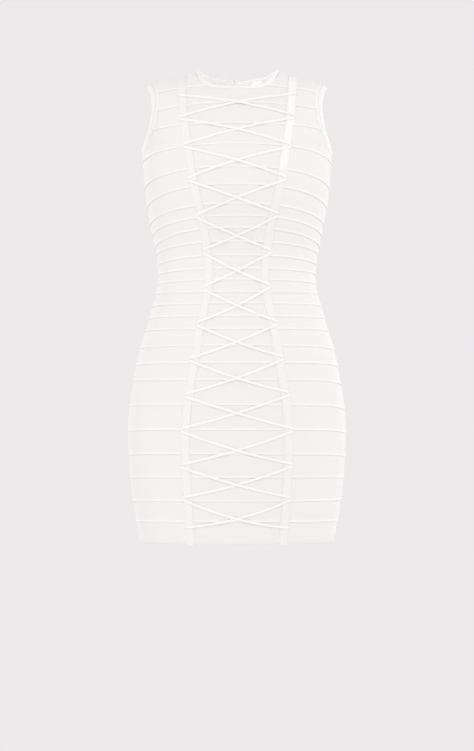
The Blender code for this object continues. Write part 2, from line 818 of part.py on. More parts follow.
def hook_and_eye(finish):
    """A wire hook on the left end of the neck binding, caught over an eye on the right end."""
    near, far = 0.9, 2.3
    wire("hook", (
        (-14.0, 2.0, near), (-7.0, 1.5, near), (-2.6, 0.9, far), (0.3, 0.6, far),
        (0.3, -0.6, far), (-2.6, -0.9, far), (-7.0, -1.5, near), (-14.0, -2.0, near)), finish)
    wire("eye", (
        (12.0, 2.2, near), (5.0, 2.2, near), (-0.4, 1.8, near), (-1.5, 0.9, near),
        (-1.5, -0.9, near), (-0.4, -1.8, near), (5.0, -2.2, near), (12.0, -2.2, near)), finish)


def neck_label(finish):
    """A blank woven label inside the right back neck, sewn along the binding's seam."""
    x = np.linspace(LABEL_INNER_EDGE, LABEL_INNER_EDGE + LABEL_WIDTH, 4)[None, :]
    drop = np.linspace(LABEL_DROP, 0, 5)[:, None]
    height = neckline(x, BACK) + LABEL_RISE - drop
    points = at_front_view(x + 0 * height, height, BACK)
    near = WALL + 2 * SEAM
    add_wall("neck_label", points, finish, -near, inward=near + LABEL_THICKNESS)


# ---- The dress -----------------------------------------------------------------------------------


def main():
    for old in list(bpy.data.objects):
        bpy.data.objects.remove(old, do_unlink=True)
    knit = material("bandage_knit", (0.90, 0.89, 0.87), 0.75)
    rib = material("rib_tape", (0.93, 0.92, 0.90), 0.6)
    cord = material("lace_knit", (0.94, 0.93, 0.91), 0.65)
    zip_tape = material("zip_chain", (0.92, 0.92, 0.91), 0.5)
    metal = material("coated_metal", (0.90, 0.90, 0.90), 0.35, 0.3)
    woven = material("label_satin", (0.95, 0.95, 0.94), 0.45)

    front_centre(knit)
    edges = {FRONT: front_side(knit), BACK: back(knit)}
    tapes(rib)
    neck_binding(rib)
    armhole_bindings(rib, edges)
    lacing(cord)
    zip_chain(zip_tape)
    frame = slider_frame()
    zip_slider(metal, frame)
    zip_pull(metal, frame)
    hook_and_eye(metal)
    neck_label(woven)


main()
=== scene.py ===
"""The looks of a sleeveless bandage mini dress, laced down the front and zipped down the back.

Lengths are in millimetres, and heights run up from the hem, until a mesh is made: it is in metres
in the shared frame, whose origin lies between the shoulder seams. The front faces -Y and right is
+X. The form, the edges of the pieces and the laces' routes are those of the dress's own solids.
"""

from __future__ import annotations

import logging
import math
from collections.abc import Callable
from copy import copy
from dataclasses import dataclass, field
from enum import Enum

import bpy
import numpy as np
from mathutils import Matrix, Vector


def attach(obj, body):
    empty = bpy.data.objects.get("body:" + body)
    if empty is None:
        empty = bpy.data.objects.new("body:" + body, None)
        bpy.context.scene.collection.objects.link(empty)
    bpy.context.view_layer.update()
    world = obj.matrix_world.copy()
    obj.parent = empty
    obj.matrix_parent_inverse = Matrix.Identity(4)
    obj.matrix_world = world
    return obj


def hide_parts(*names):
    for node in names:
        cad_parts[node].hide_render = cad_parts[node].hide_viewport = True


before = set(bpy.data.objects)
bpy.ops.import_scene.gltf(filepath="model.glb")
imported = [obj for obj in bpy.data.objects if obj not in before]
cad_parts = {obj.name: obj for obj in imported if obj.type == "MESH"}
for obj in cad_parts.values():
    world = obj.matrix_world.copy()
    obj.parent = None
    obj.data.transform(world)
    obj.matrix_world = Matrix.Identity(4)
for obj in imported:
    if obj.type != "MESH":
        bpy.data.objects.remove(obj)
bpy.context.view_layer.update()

Array = np.ndarray
Material = bpy.types.Material
Piece = bpy.types.Object
Test = Callable[[Array], Array]
Spot = tuple[float, float]
Point = tuple[float, float, float]
Colour = tuple[float, float, float]
Seam = tuple[Array, Array]  # points along a row of stitches, and the cloth's normals there

MM = 0.001
SHOULDER_HEIGHT = 795.0  # the frame's origin above the hem
SEAM = 0.3  # clearance between the solids of two pieces
WALL = 1.8  # thickness of the knit
STRIP_LEAN = 1.4  # how a strip's edge climbs from the side to the front's middle

log = logging.getLogger("bandage_dress")


class Side(Enum):
    """The sign of Y on the dress's front and back."""

    FRONT = -1
    BACK = 1


class Hand(Enum):
    """The sign of X on the left and right, as seen from the front."""

    LEFT = -1
    RIGHT = 1

    @property
    def word(self) -> str:
        """The hand's name as pieces and tables use it."""
        return self.name.lower()

    def of(self, points: Array) -> Array:
        """Points of the dress's right half, moved to this hand's half."""
        return points * (self.value, 1.0, 1.0)


def table(columns: tuple[str, ...], rows: tuple[tuple[float, ...], ...]) -> dict[str, Array]:
    """Turns the rows of a short table into an array for each of its named columns."""
    return dict(zip(columns, np.array(rows, float).T))


def joined(*parts: Array) -> Array:
    """Arrays spread to one shape, as the last axis of a single one."""
    return np.stack(np.broadcast_arrays(*parts), axis=-1)


def signed_power(numbers: Array, power: float) -> Array:
    """Each number's size raised to a power, with the number's own sign."""
    return np.sign(numbers) * np.abs(numbers)**power


SECTIONS = table(("height", "half_width", "front_depth", "back_depth"), (
    (0, 166, 100, 110), (70, 178, 104, 118), (112, 183, 106, 123), (167, 186.5, 109, 129),
    (222, 185.5, 110.5, 130.5), (263, 179.7, 110.5, 127), (304, 172.5, 110, 119),
    (346, 162.5, 107, 108), (373, 153.5, 103, 101), (401, 145.5, 98.5, 95), (428, 138, 94.5, 91.5),
    (456, 134.3, 92.5, 90), (483, 137, 93.5, 91.5), (511, 142, 99, 95), (538, 147.5, 107, 99),
    (566, 152.5, 115, 103), (593, 157, 120.5, 106.5), (621, 159.5, 122, 109),
    (648, 161.5, 119.5, 111), (680, 161, 113.5, 112), (720, 159.5, 103.5, 109), (760, 167, 88, 98),
    (810, 200, 68, 77),
))

SHOULDER_LINE = table(("half_width", "height"), (
    (0, 836), (40, 824), (62, 811.5), (72, 808), (82, 803), (95, 797.5), (122, 793.5), (141, 787),
    (154, 780), (172, 768),
))

# Lower edge of each bandage strip from the neck down: in the middle of the front, where it would
# reach the left and right side, and in the middle of the back.
BANDS = table(("middle", "left", "right", "back"), (
    (778.7, 751.7, 753.7, 764.7), (746.7, 723, 730.3, 732), (710, 698.5, 701.5, 701.5),
    (674.9, 651.2, 651.7, 651.5), (635.8, 605.5, 605.5, 605.5), (606.3, 570.4, 569.9, 570.1),
    (574.1, 541, 541, 541), (554, 521.7, 522.7, 522.2), (534.1, 501.4, 503.6, 502.5),
    (511, 490.6, 492.6, 491.6), (488.1, 472.4, 474.9, 473.6), (465.8, 457.2, 458.9, 458.1),
    (446.9, 440.9, 442.9, 441.9), (425.9, 424.9, 426.1, 425.5), (406.7, 403.5, 405.5, 404.5),
    (385, 383.9, 384.6, 384.2), (363.3, 362.5, 364.5, 363.5), (335.6, 332.7, 333.7, 333.2),
    (306.1, 305.1, 306.6, 305.9), (277.6, 277.3, 275.8, 276.6), (235.2, 236.5, 234, 235.2),
    (193.4, 192.5, 192, 192.2), (152.4, 152.5, 150, 151.2), (112.8, 113.5, 113, 113.2),
    (72.8, 72.8, 72.8, 72.8), (38, 36.6, 36.2, 36.4),
))

# How far the strips' edges droop right at the sides.
DROOP = table(("height", "left", "right"), (
    (0, 0, 0), (38, 1.5, 0), (75, 3, 0), (114, 4, 3), (153, 3.6, 3.7), (196, 3, 6), (237, 3.5, 7.6),
    (279, 1.5, 6), (308, 2.5, 6), (337, 1, 4), (366, 1.5, 3), (400, 0, 0.5), (560, 0, 0),
    (600, 2, 1.5), (637, 3, 6), (711, 2, 6), (760, 0, 0),
))

TAPE_EDGE = table(("height", "outer"), (
    (0, 84.5), (28, 86.6), (79, 90.3), (135, 93), (195, 93.6), (254, 87.7), (313, 77.8),
    (374, 67.6), (437, 55.1), (498, 57.4), (554, 67.1), (616, 81.2), (673, 89.8), (723, 97.1),
    (763, 100.1), (800, 103),
))

# Rows of lace ends from the neck down, and the crossing below each row.
LACING = table(("left", "right", "crossing"), (
    (762, 764.5, 748.5), (720.9, 724.1, 701.5), (673.3, 673.4, 648.5), (616.4, 618.4, 585.8),
    (554.6, 557.8, 522.7), (496.4, 496.4, 463.7), (434, 437.7, 404.4), (373.7, 375.1, 343.1),
    (313.2, 316, 282.3), (253.1, 255.6, 223.3), (194.4, 194.4, 160.5), (134, 135.2, 102.4),
    (78.5, 78.8, 44.7), (27.8, 27, 0),
))


# ---- The form that the worn dress keeps ----


class Curve:
    """Natural cubic spline through a table's column, read by calling it."""

    def __init__(self, at: Array, values: Array) -> None:
        """Solves for the second derivatives at the knots, which are zero at both ends.

        Args:
            at: The knots, rising.
            values: The value at each knot.
        """
        self.at, self.values = at, values
        step = np.diff(at)
        slope = np.diff(values) / step
        matrix = np.eye(len(at))
        inner = np.arange(1, len(at) - 1)
        matrix[inner, inner - 1] = step[:-1]
        matrix[inner, inner] = 2 * (step[:-1] + step[1:])
        matrix[inner, inner + 1] = step[1:]
        right = np.zeros(len(at))
        right[1:-1] = 6 * np.diff(slope)
        self.bend = np.linalg.solve(matrix, right)

    def __call__(self, x: Array) -> Array:
        """Reads the spline.

        Args:
            x: Places along the table's first column.

        Returns:
            The spline's value at each.
        """
        i = np.clip(np.searchsorted(self.at, x) - 1, 0, len(self.at) - 2)
        step = self.at[i + 1] - self.at[i]
        a = (self.at[i + 1] - x) / step
        b = 1 - a
        straight = a * self.values[i] + b * self.values[i + 1]
        return straight + ((a**3 - a) * self.bend[i] + (b**3 - b) * self.bend[i + 1]) * step**2 / 6


def bisect(inside: Test, low: Array, high: Array, rounds: int = 36) -> Array:
    """Halves the way between two arrays until they meet where a test starts to fail.

    Args:
        inside: Tells for an array of places which still hold.
        low: Places that hold.
        high: Places that don't.
        rounds: How often the way is halved.

    Returns:
        The last places from `low` that hold.
    """
    for _ in range(rounds):
        middle = (low + high) / 2
        holds = inside(middle)
        low, high = np.where(holds, middle, low), np.where(holds, high, middle)
    return low


@dataclass(frozen=True)
class Form:
    """The closed shape that the cloth lies on, as a general figure fills it."""

    roundness: float = 2.3  # exponent of the sections: 2 is an ellipse
    closing_start: float = 660.0  # where the form starts to close towards the shoulder line
    half_width: Curve = Curve(SECTIONS["height"], SECTIONS["half_width"])
    front_depth: Curve = Curve(SECTIONS["height"], SECTIONS["front_depth"])
    back_depth: Curve = Curve(SECTIONS["height"], SECTIONS["back_depth"])
    shoulder_line: Curve = Curve(SHOULDER_LINE["half_width"], SHOULDER_LINE["height"])
    tape_outer: Curve = Curve(TAPE_EDGE["height"], TAPE_EDGE["outer"])
    tape_width: float = 14.3
    probe: float = 0.02  # reach of the differences that give the normals

    def tape_inner(self, height: Array) -> Array:
        """Distance of a tape's inner edge from the middle."""
        return self.tape_outer(height) - self.tape_width

    def depth(self, height: Array, side: Side) -> Array:
        """Depth of the form in the middle of one side."""
        return self.front_depth(height) if side == Side.FRONT else self.back_depth(height)

    def closing(self, x: Array, height: Array) -> Array:
        """1 below the chest, falling to 0 on the shoulder line and negative above it."""
        rest = self.shoulder_line(np.abs(x)) - self.closing_start
        return 1 - (np.maximum(height - self.closing_start, 0) / rest)**self.roundness

    def fullness(self, x: Array, height: Array) -> Array:
        """Share of its depth that the closing form has left."""
        return np.maximum(self.closing(x, height), 0)**(1 / self.roundness)

    def across(self, x: Array, height: Array) -> Array:
        """1 in the middle, falling to 0 at the form's side."""
        return 1 - (np.abs(x) / self.half_width(height))**self.roundness

    def level(self, x: Array, y: Array, height: Array) -> Array:
        """Zero on the form: |y / depth|^n less closing times across."""
        share = np.abs(y) / np.where(y < 0, self.front_depth(height), self.back_depth(height))
        return share**self.roundness - self.closing(x, height) * self.across(x, height)

    def outward(self, points: Array) -> Array:
        """The form's unit normals, from central differences of its level.

        Args:
            points: Points on or near the form.

        Returns:
            The normal at each.
        """
        x, y, height = np.moveaxis(points, -1, 0)
        step = self.probe
        return unit(joined(
            self.level(x + step, y, height) - self.level(x - step, y, height),
            self.level(x, y + step, height) - self.level(x, y - step, height),
            self.level(x, y, height + step) - self.level(x, y, height - step)))

    def at_front_view(self, x: Array, height: Array, side: Side) -> Array:
        """The form's points with the given places in front view."""
        share = np.maximum(self.across(x, height), 0)**(1 / self.roundness)
        depth = side.value * self.depth(height, side)
        return joined(x, depth * self.fullness(x, height) * share, height)

    def at_side_view(self, y: Array, height: Array) -> Array:
        """The form's points, right of the middle, with the given places in side view."""
        x = bisect(lambda reach: self.level(reach, y, height) <= 0,
                   np.zeros_like(y), self.half_width(height))
        return joined(x, y, height)


FORM = Form()


@dataclass(frozen=True)
class Neckline:
    """The neck's edge: flat in the middle, then a power curve up to the shoulder."""

    half_width: tuple[float, float] = (71.5, 66.0)  # at the binding's seam and free edge
    front_height: tuple[float, float] = (773.0, 777.5)
    back_height: tuple[float, float] = (795.0, 800.0)
    front_power: float = 5.0
    back_power: float = 3.0

    def reach(self, share: float) -> float:
        """Half the opening's width at a share of the way from seam to free edge."""
        return self.half_width[0] + (self.half_width[1] - self.half_width[0]) * share

    def height(self, x: Array, side: Side, share: float = 0.0, out: float = 0.0) -> Array:
        """Height of the neckline: low + (shoulder - low) * |x / reach|^power.

        Args:
            x: Places across.
            side: Front or back.
            share: Share of the way over the binding from its seam to its free edge.
            out: Distance outside and below that line.

        Returns:
            The height at each x.
        """
        front = side == Side.FRONT
        seam, edge = self.front_height if front else self.back_height
        power = self.front_power if front else self.back_power
        reach = self.reach(share) + out
        low = seam + (edge - seam) * share - out
        return low + (FORM.shoulder_line(reach) - low) * np.minimum(np.abs(x) / reach, 1)**power


@dataclass(frozen=True)
class Armhole:
    """The right armhole: a rounded, slightly egg-shaped loop in side view."""

    front_depth: float = 43.0
    back_depth: float = 47.0
    taper: float = 0.15
    bottom: float = 675.0
    top_at: float = 154.0
    power: float = 2.2
    binding: float = 11.5  # the binding's width on the cloth
    probe: float = 0.01  # reach in radians of the differences that give its direction
    samples: int = 241

    def edge(self, angle: Array) -> Array:
        """Points of the free edge.

        Args:
            angle: Angles in radians, from the front's middle height up.

        Returns:
            A point for each.
        """
        top = FORM.shoulder_line(np.array(self.top_at))
        ahead, up = np.cos(angle), np.sin(angle)
        depth = np.where(ahead > 0, self.front_depth, self.back_depth)
        rise = signed_power(up, 2 / self.power)
        y = -signed_power(ahead, 2 / self.power) * depth * (1 - self.taper * rise)
        return FORM.at_side_view(y, (self.bottom + top) / 2 + (top - self.bottom) / 2 * rise)

    def ring(self, angle: Array, inward: float) -> Array:
        """The edge moved over the cloth, square to itself and to the form's normal.

        Args:
            angle: Angles, as for the edge.
            inward: The distance.

        Returns:
            A point for each angle.
        """
        along = self.edge(angle + self.probe) - self.edge(angle - self.probe)
        edge = self.edge(angle)
        moved = edge + unit(np.cross(FORM.outward(edge), along)) * inward
        return FORM.at_side_view(moved[..., 1], moved[..., 2])

    def seam(self, side: Side, clearance: float) -> tuple[Array, Array]:
        """One half of the panels' armhole edge in side view.

        Args:
            side: Front or back half.
            clearance: Distance between the panel and the binding's seam.

        Returns:
            Rising heights, and how far the edge lies from the side at each.
        """
        angle = np.linspace(-math.pi / 2, math.pi / 2, self.samples)
        angle = angle if side == Side.FRONT else math.pi - angle
        ring = self.ring(angle, self.binding + clearance)
        return np.maximum.accumulate(ring[:, 2]), np.maximum(side.value * ring[:, 1], 0)


@dataclass(frozen=True)
class Zip:
    """Sizes of the back zip that the panels and bindings share."""

    width: float = 5.5
    bottom: float = 277.8
    full: float = 306.6
    top: float = 790.0
    slider_height: float = 776.0

    def half_gap(self, height: Array) -> Array:
        """Half the distance between the back panels."""
        return np.interp(height, (self.bottom, self.full), (0.12, self.width / 2))


NECKLINE = Neckline()
ARMHOLE = Armhole()
ZIP = Zip()


# ---- Meshes ----


def cells(grid: Array) -> Array:
    """The four corners of each cell of a grid of numbers or points, counter-clockwise."""
    corners = (grid[:-1, :-1], grid[:-1, 1:], grid[1:, 1:], grid[1:, :-1])
    return np.stack(corners, axis=2).reshape(-1, 4, *grid.shape[2:])


def grid_quads(rows: int, columns: int, first: int = 0, ring: bool = False,
               closed: bool = False) -> Array:
    """Quads of a grid's points, numbered row by row from `first` and facing counter-clockwise."""
    number = first + np.arange(rows * columns).reshape(rows, columns)
    return cells(np.pad(number, ((0, int(closed)), (0, int(ring))), mode="wrap"))


def add_piece(name: str, points: Array, faces: list[Array], finish: Material,
              uv: Array | None = None, values: dict[str, Array] | None = None,
              sharp: float | None = 50.0) -> Piece:
    """Makes a mesh object in the shared frame.

    Args:
        name: The piece's name.
        points: Points in millimetres above the hem.
        faces: Arrays of faces, each with one number of corners a face.
        finish: The piece's material.
        uv: Two numbers a point or a corner for a UV map, in millimetres over the cloth.
        values: Number attributes of the points.
        sharp: Angle in degrees above which an edge is drawn sharp.

    Returns:
        The new object.
    """
    mesh = bpy.data.meshes.new(name)
    mesh.vertices.add(len(points))
    placed = (points - (0.0, 0.0, SHOULDER_HEIGHT)) * MM
    mesh.vertices.foreach_set("co", placed.astype(np.float32).ravel())
    corners = np.concatenate([part.ravel() for part in faces])
    counts = np.concatenate([np.full(len(part), part.shape[1]) for part in faces])
    mesh.loops.add(len(corners))
    mesh.loops.foreach_set("vertex_index", corners.astype(np.int32))
    mesh.polygons.add(len(counts))
    mesh.polygons.foreach_set("loop_start", (np.cumsum(counts) - counts).astype(np.int32))
    mesh.update(calc_edges=True)
    if uv is not None:
        layer = mesh.uv_layers.new(name="cloth")
        at_corners = uv if len(uv) == len(corners) else uv[corners]
        layer.data.foreach_set("uv", at_corners.astype(np.float32).ravel())
    for key, numbers in (values or {}).items():
        attribute = mesh.attributes.new(key, "FLOAT", "POINT")
        attribute.data.foreach_set("value", numbers.astype(np.float32).ravel())
    mesh.shade_smooth()
    if sharp is not None:
        mesh.set_sharp_from_angle(angle=math.radians(sharp))
    mesh.materials.append(finish)
    made = bpy.data.objects.new(name, mesh)
    bpy.context.scene.collection.objects.link(made)
    return made


def add_shell(name: str, outer: Array, inner: Array, uv: Array, finish: Material,
              values: dict[str, Array] | None = None) -> Piece:
    """A closed sheet between two grids of points, joined round their borders.

    Args:
        name: The piece's name.
        outer: The outer face's points, rows by columns.
        inner: The inner face's points, on the same grid.
        uv: Cloth coordinates of the grid.
        finish: The piece's material.
        values: Number attributes on the grid.

    Returns:
        The new object.
    """
    rows, columns = outer.shape[:2]
    number = np.arange(rows * columns).reshape(rows, columns)
    border = np.concatenate((number[0], number[1:, -1], number[-1, -2::-1], number[-2:0:-1, 0]))
    following = np.roll(border, -1)
    size = rows * columns
    rim = joined(border + size, following + size, following, border)
    front = grid_quads(rows, columns)
    back = grid_quads(rows, columns, size)[:, ::-1]
    faces = [front, back, rim]
    points = np.concatenate((outer.reshape(-1, 3), inner.reshape(-1, 3)))
    if enclosed(points, np.concatenate(faces)) < 0:
        faces = [part[:, ::-1] for part in faces]
    doubled = {key: np.tile(np.broadcast_to(numbers, (rows, columns)).ravel(), 2)
               for key, numbers in (values or {}).items()}
    return add_piece(name, points, faces, finish,
                     np.tile(uv.reshape(-1, 2), (2, 1)), doubled)


def enclosed(points: Array, quads: Array) -> float:
    """Six times the volume inside outward quads, negative where they face in."""
    a, b, c, d = (points[quads[:, corner]] - points.mean(axis=0) for corner in range(4))
    return float((np.cross(b - a, c - a) * a).sum() + (np.cross(c - a, d - a) * a).sum())


def add_sweep(name: str, rings: Array, finish: Material, closed: bool = False,
              uv: Array | None = None, sharp: float | None = 50.0,
              values: dict[str, Array] | None = None) -> Piece:
    """A solid through rings of points, which meet end to end or are capped by fans.

    Args:
        name: The piece's name.
        rings: Points, rings by places round the section.
        finish: The piece's material.
        closed: Whether the last ring joins the first.
        uv: Coordinates of each point.
        sharp: Angle in degrees above which an edge is drawn sharp.
        values: Number attributes of each point.

    Returns:
        The new object, facing out.
    """
    count, around = rings.shape[:2]
    points = rings.reshape(-1, 3)
    extra = {key: np.broadcast_to(numbers, (count, around)).ravel()
             for key, numbers in (values or {}).items()}
    faces = [grid_quads(count, around, ring=True, closed=closed)]
    cloth = None
    if uv is not None:
        beyond = ((0, int(closed)), (0, 1), (0, 0))
        cloth = [cells(np.pad(uv, beyond, mode="reflect", reflect_type="odd"))]
    if not closed:
        edges = np.arange(around) + np.array(((0,), ((count - 1) * around,)))
        centres = count * around + np.array(((0,), (1,)))
        fans = joined(edges, np.roll(edges, -1, axis=1), centres)
        faces.append(np.concatenate((fans[0][:, ::-1], fans[1])))
        points = np.concatenate((points, rings[:1].mean(axis=1), rings[-1:].mean(axis=1)))
        extra = {key: np.concatenate((part, part[:1], part[-1:])) for key, part in extra.items()}
        if uv is not None:
            flat = np.concatenate((uv.reshape(-1, 2), uv[0, :1], uv[-1, :1]))
            cloth.append(flat[faces[-1]])
    if enclosed(points, faces[0]) < 0:
        faces = [part[:, ::-1] for part in faces]
        cloth = cloth and [part[:, ::-1] for part in cloth]
    at_corners = cloth and np.concatenate([part.reshape(-1, 2) for part in cloth])
    return add_piece(name, points, faces, finish, at_corners, extra, sharp)


def add_rods(name: str, groups: list[Array], finish: Material) -> Piece:
    """Many short closed rods in one mesh.

    Args:
        name: The piece's name.
        groups: Arrays of points, each rods by rings by places round the section.
        finish: The piece's material.

    Returns:
        The new object, facing out.
    """
    points, faces, first = [], [], 0
    for rods in groups:
        count, rings, around = rods.shape[:3]
        quads = grid_quads(rings, around, ring=True)
        corner = np.arange(1, around - 1)
        fan = joined(0 * corner, corner, corner + 1)
        caps = np.concatenate((fan[:, ::-1], fan + (rings - 1) * around))
        if enclosed(rods[0].reshape(-1, 3), quads) < 0:
            quads, caps = quads[:, ::-1], caps[:, ::-1]
        starts = first + np.arange(count)[:, None, None] * rings * around
        faces += [(part[None] + starts).reshape(-1, part.shape[1]) for part in (quads, caps)]
        points.append(rods.reshape(-1, 3))
        first += count * rings * around
    return add_piece(name, np.concatenate(points), faces, finish)


def round_section(sides: int) -> Array:
    """Cosines and sines round a section."""
    turn = np.arange(sides) * 2 * math.pi / sides
    return joined(np.cos(turn), np.sin(turn))


def rounded(sides: int, across: float, along: float) -> Array:
    """A superellipse of half size 1, by the powers of its cosines and sines."""
    cosine, sine = round_section(sides).T
    return joined(signed_power(cosine, across), signed_power(sine, along))


def bell(distance: Array, reach: float) -> Array:
    """A smooth bell of height 1 that falls to 1/e at a distance."""
    return np.exp(-(distance / reach)**2)


def carried(path: Array, across: Array, off: Array, section: Array) -> Array:
    """A section's points at each point of a path, by the directions of its two axes there."""
    return (path[..., None, :] + across[..., None, :] * section[..., :1]
            + off[..., None, :] * section[..., 1:])


def arc_length(points: Array, axis: int = 0) -> Array:
    """Length run along an axis of a grid.

    Args:
        points: The grid's points.
        axis: The axis.

    Returns:
        The length at each point, from 0 at the axis's start.
    """
    steps = np.linalg.norm(np.diff(points, axis=axis), axis=-1)
    lead = np.zeros_like(np.take(steps, [0], axis=axis))
    return np.cumsum(np.concatenate((lead, steps), axis=axis), axis=axis)


def unit(vectors: Array) -> Array:
    """Vectors of length 1 in the same directions."""
    return vectors / np.linalg.norm(vectors, axis=-1, keepdims=True)


def declare(piece: Piece, node: str | None = None, body: str = "dress",
            flat: Spot | None = None) -> None:
    """Says what moves a piece, and hides the solid whose place it takes.

    Args:
        piece: The piece.
        node: The solid whose place it takes.
        body: The body that it rides on.
        flat: The cut cloth's width and length in metres; not used.
    """
    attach(piece, body)
    if node:
        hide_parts(node)


# ---- Shader nodes ----


@dataclass(frozen=True)
class Wire:
    """An output socket of a material; arithmetic on it adds Math nodes."""

    tree: Tree
    socket: bpy.types.NodeSocket

    def _math(self, operation: str, *values: Wire | float) -> Wire:
        """Adds a Math node with the given operation and inputs."""
        return self.tree.node("ShaderNodeMath", {"operation": operation}, dict(enumerate(values)))

    def __add__(self, other: Wire | float) -> Wire:
        """Sum."""
        return self._math("ADD", self, other)

    __radd__ = __add__

    def __sub__(self, other: Wire | float) -> Wire:
        """Difference."""
        return self._math("SUBTRACT", self, other)

    def __rsub__(self, other: float) -> Wire:
        """Difference from a number."""
        return self._math("SUBTRACT", other, self)

    def __mul__(self, other: Wire | float) -> Wire:
        """Product."""
        return self._math("MULTIPLY", self, other)

    __rmul__ = __mul__

    def __truediv__(self, other: Wire | float) -> Wire:
        """Quotient."""
        return self._math("DIVIDE", self, other)

    def wave(self) -> Wire:
        """A wave between 0 and 1 that repeats with each whole number."""
        return 0.5 + 0.5 * self._math("COSINE", self * (2 * math.pi))

    def floor(self) -> Wire:
        """The whole number below."""
        return self._math("FLOOR", self)

    def distance(self) -> Wire:
        """Absolute value."""
        return self._math("ABSOLUTE", self)

    def between(self, low: float, high: float, start: float = 0.0, end: float = 1.0) -> Wire:
        """Smooth step from `start` at `low` to `end` at `high`."""
        return self.tree.node("ShaderNodeMapRange", {"interpolation_type": "SMOOTHSTEP"}, {
            "Value": self, "From Min": low, "From Max": high, "To Min": start, "To Max": end})


class Tree:
    """A material under construction, with its Principled shader."""

    def __init__(self, name: str, colour: Colour, roughness: float, **fixed: float) -> None:
        """Makes the material and sets the sockets that are the same all over.

        Args:
            name: The material's name.
            colour: Base colour.
            roughness: Roughness.
            fixed: Other sockets by name, with underscores for spaces.
        """
        self.material = bpy.data.materials.new(name)
        self.material.use_nodes = True
        self.nodes = self.material.node_tree.nodes
        self.shader = self.nodes["Principled BSDF"]
        self.shader.inputs["Base Color"].default_value = (*colour, 1.0)
        self.shader.inputs["Roughness"].default_value = roughness
        for key, value in fixed.items():
            self.shader.inputs[key.replace("_", " ")].default_value = value
        self.material.diffuse_color = (*colour, 1.0)

    def node(self, kind: str, settings: dict[str, object] | None = None,
             inputs: dict[str | int, object] | None = None, output: str | int = 0) -> Wire:
        """Adds a node.

        Args:
            kind: The node's type.
            settings: Its properties, set first.
            inputs: Its sockets' values, or the wires that feed them.
            output: The output that is wanted.

        Returns:
            That output.
        """
        made = self.nodes.new(kind)
        for key, value in (settings or {}).items():
            setattr(made, key, value)
        for key, value in (inputs or {}).items():
            if isinstance(value, Wire):
                self.material.node_tree.links.new(value.socket, made.inputs[key])
            else:
                made.inputs[key].default_value = value
        return Wire(self, made.outputs[output])

    def feed(self, socket: str, wire: Wire) -> None:
        """Links a wire to a socket of the Principled shader."""
        self.material.node_tree.links.new(wire.socket, self.shader.inputs[socket])

    def cloth(self) -> tuple[Wire, Wire]:
        """Millimetres along and up the cloth, from the piece's UV map."""
        uv = self.node("ShaderNodeUVMap", {"uv_map": "cloth"})
        parts = self.node("ShaderNodeSeparateXYZ", None, {0: uv})
        return parts, Wire(self, parts.socket.node.outputs[1])

    def place(self) -> Wire:
        """Object coordinates."""
        return self.node("ShaderNodeTexCoord", None, None, "Object")

    def value(self, name: str) -> Wire:
        """A number attribute of the mesh."""
        return self.node("ShaderNodeAttribute", {"attribute_name": name}, None, "Fac")

    def noise(self, scale: float, detail: float = 2.0, where: Wire | None = None) -> Wire:
        """Noise with features about 1 / scale long, from 0 to 1."""
        return self.node("ShaderNodeTexNoise", None, {
            "Vector": where or self.place(), "Scale": scale, "Detail": detail})

    def blend(self, share: Wire, low: Wire | Colour, high: Colour) -> Wire:
        """A colour between two, by a share from 0 to 1."""
        under = low if isinstance(low, Wire) else (*low, 1.0)
        return self.node("ShaderNodeMix", {"data_type": "RGBA"},
                         {0: share, 6: under, 7: (*high, 1.0)}, 2)

    def dimmed(self, colour: Wire, share: Wire) -> Wire:
        """A colour less a share of itself."""
        return self.node("ShaderNodeVectorMath", {"operation": "SCALE"}, {
            0: colour, "Scale": 1.0 - share})

    def bump(self, height: Wire, depth: float, strength: float) -> None:
        """Feeds the shader a normal from a height of 0 to 1 that is `depth` metres deep."""
        self.feed("Normal", self.node("ShaderNodeBump", None, {
            "Height": height, "Distance": depth, "Strength": strength}))


@dataclass(frozen=True)
class KnitFinish:
    """Dense bandage knit: fine ribs along each strip, made of staggered loops."""

    name: str = "bandage_knit"
    light: Colour = (0.886, 0.890, 0.868)
    shade: Colour = (0.842, 0.845, 0.820)
    lip: Colour = (0.93, 0.935, 0.915)  # painted highlight on the rolled edges, where they catch the light
    rib: float = 1.05  # pitch of the ribs
    loop: float = 0.85  # pitch of the loops along a rib
    seam_at: float = 3.3  # height of the linking stitches above a strip's edge
    stitch: float = 2.4  # length of one linking stitch and its gap
    stitch_reach: float = 0.95
    lip_highlight_end: Spot = (2.2, 4.2)  # heights between which the lip's painted highlight fades
    depth: float = 0.08  # share of the light that full shade takes
    relief: float = 0.00022

    def material(self) -> Material:
        """Builds the material from the cloth's UV map and its `edge` attribute."""
        tree = Tree(self.name, self.light, 0.82, Sheen_Weight=0.25, Sheen_Roughness=0.35,
                    Specular_IOR_Level=0.25)
        along, up = tree.cloth()
        row = up / self.rib
        ribs = row.wave()
        loops = (along / self.loop + 0.5 * row.floor()).wave()
        link = (tree.value("edge") - self.seam_at).distance().between(
            0.0, self.stitch_reach, 1.0, 0.0)
        dashes = (along / self.stitch).wave()
        yarn = tree.noise(900.0, 3.0)
        stretch = tree.noise(28.0, 3.0)
        height = ribs * 0.55 + loops * 0.2 + yarn * 0.25 - link * (0.5 + 0.5 * dashes)
        tone = 0.35 + 0.4 * ribs + 0.25 * yarn + 0.25 * (stretch - 0.5) - 0.35 * link
        body = tree.blend(tone.between(0.0, 0.8), self.shade, self.light)
        # painted highlight: each strip's rolled edge is lighter, standing in for the light that it
        # catches
        lip = tree.value("edge").between(*self.lip_highlight_end, 1.0, 0.0)
        lip_highlighted = tree.blend(lip, body, self.lip)
        tree.feed("Base Color", tree.dimmed(lip_highlighted, self.depth * tree.value("shaded")))
        tree.feed("Roughness", 0.78 + 0.1 * stretch)
        tree.bump(height, self.relief, 0.7)
        return tree.material


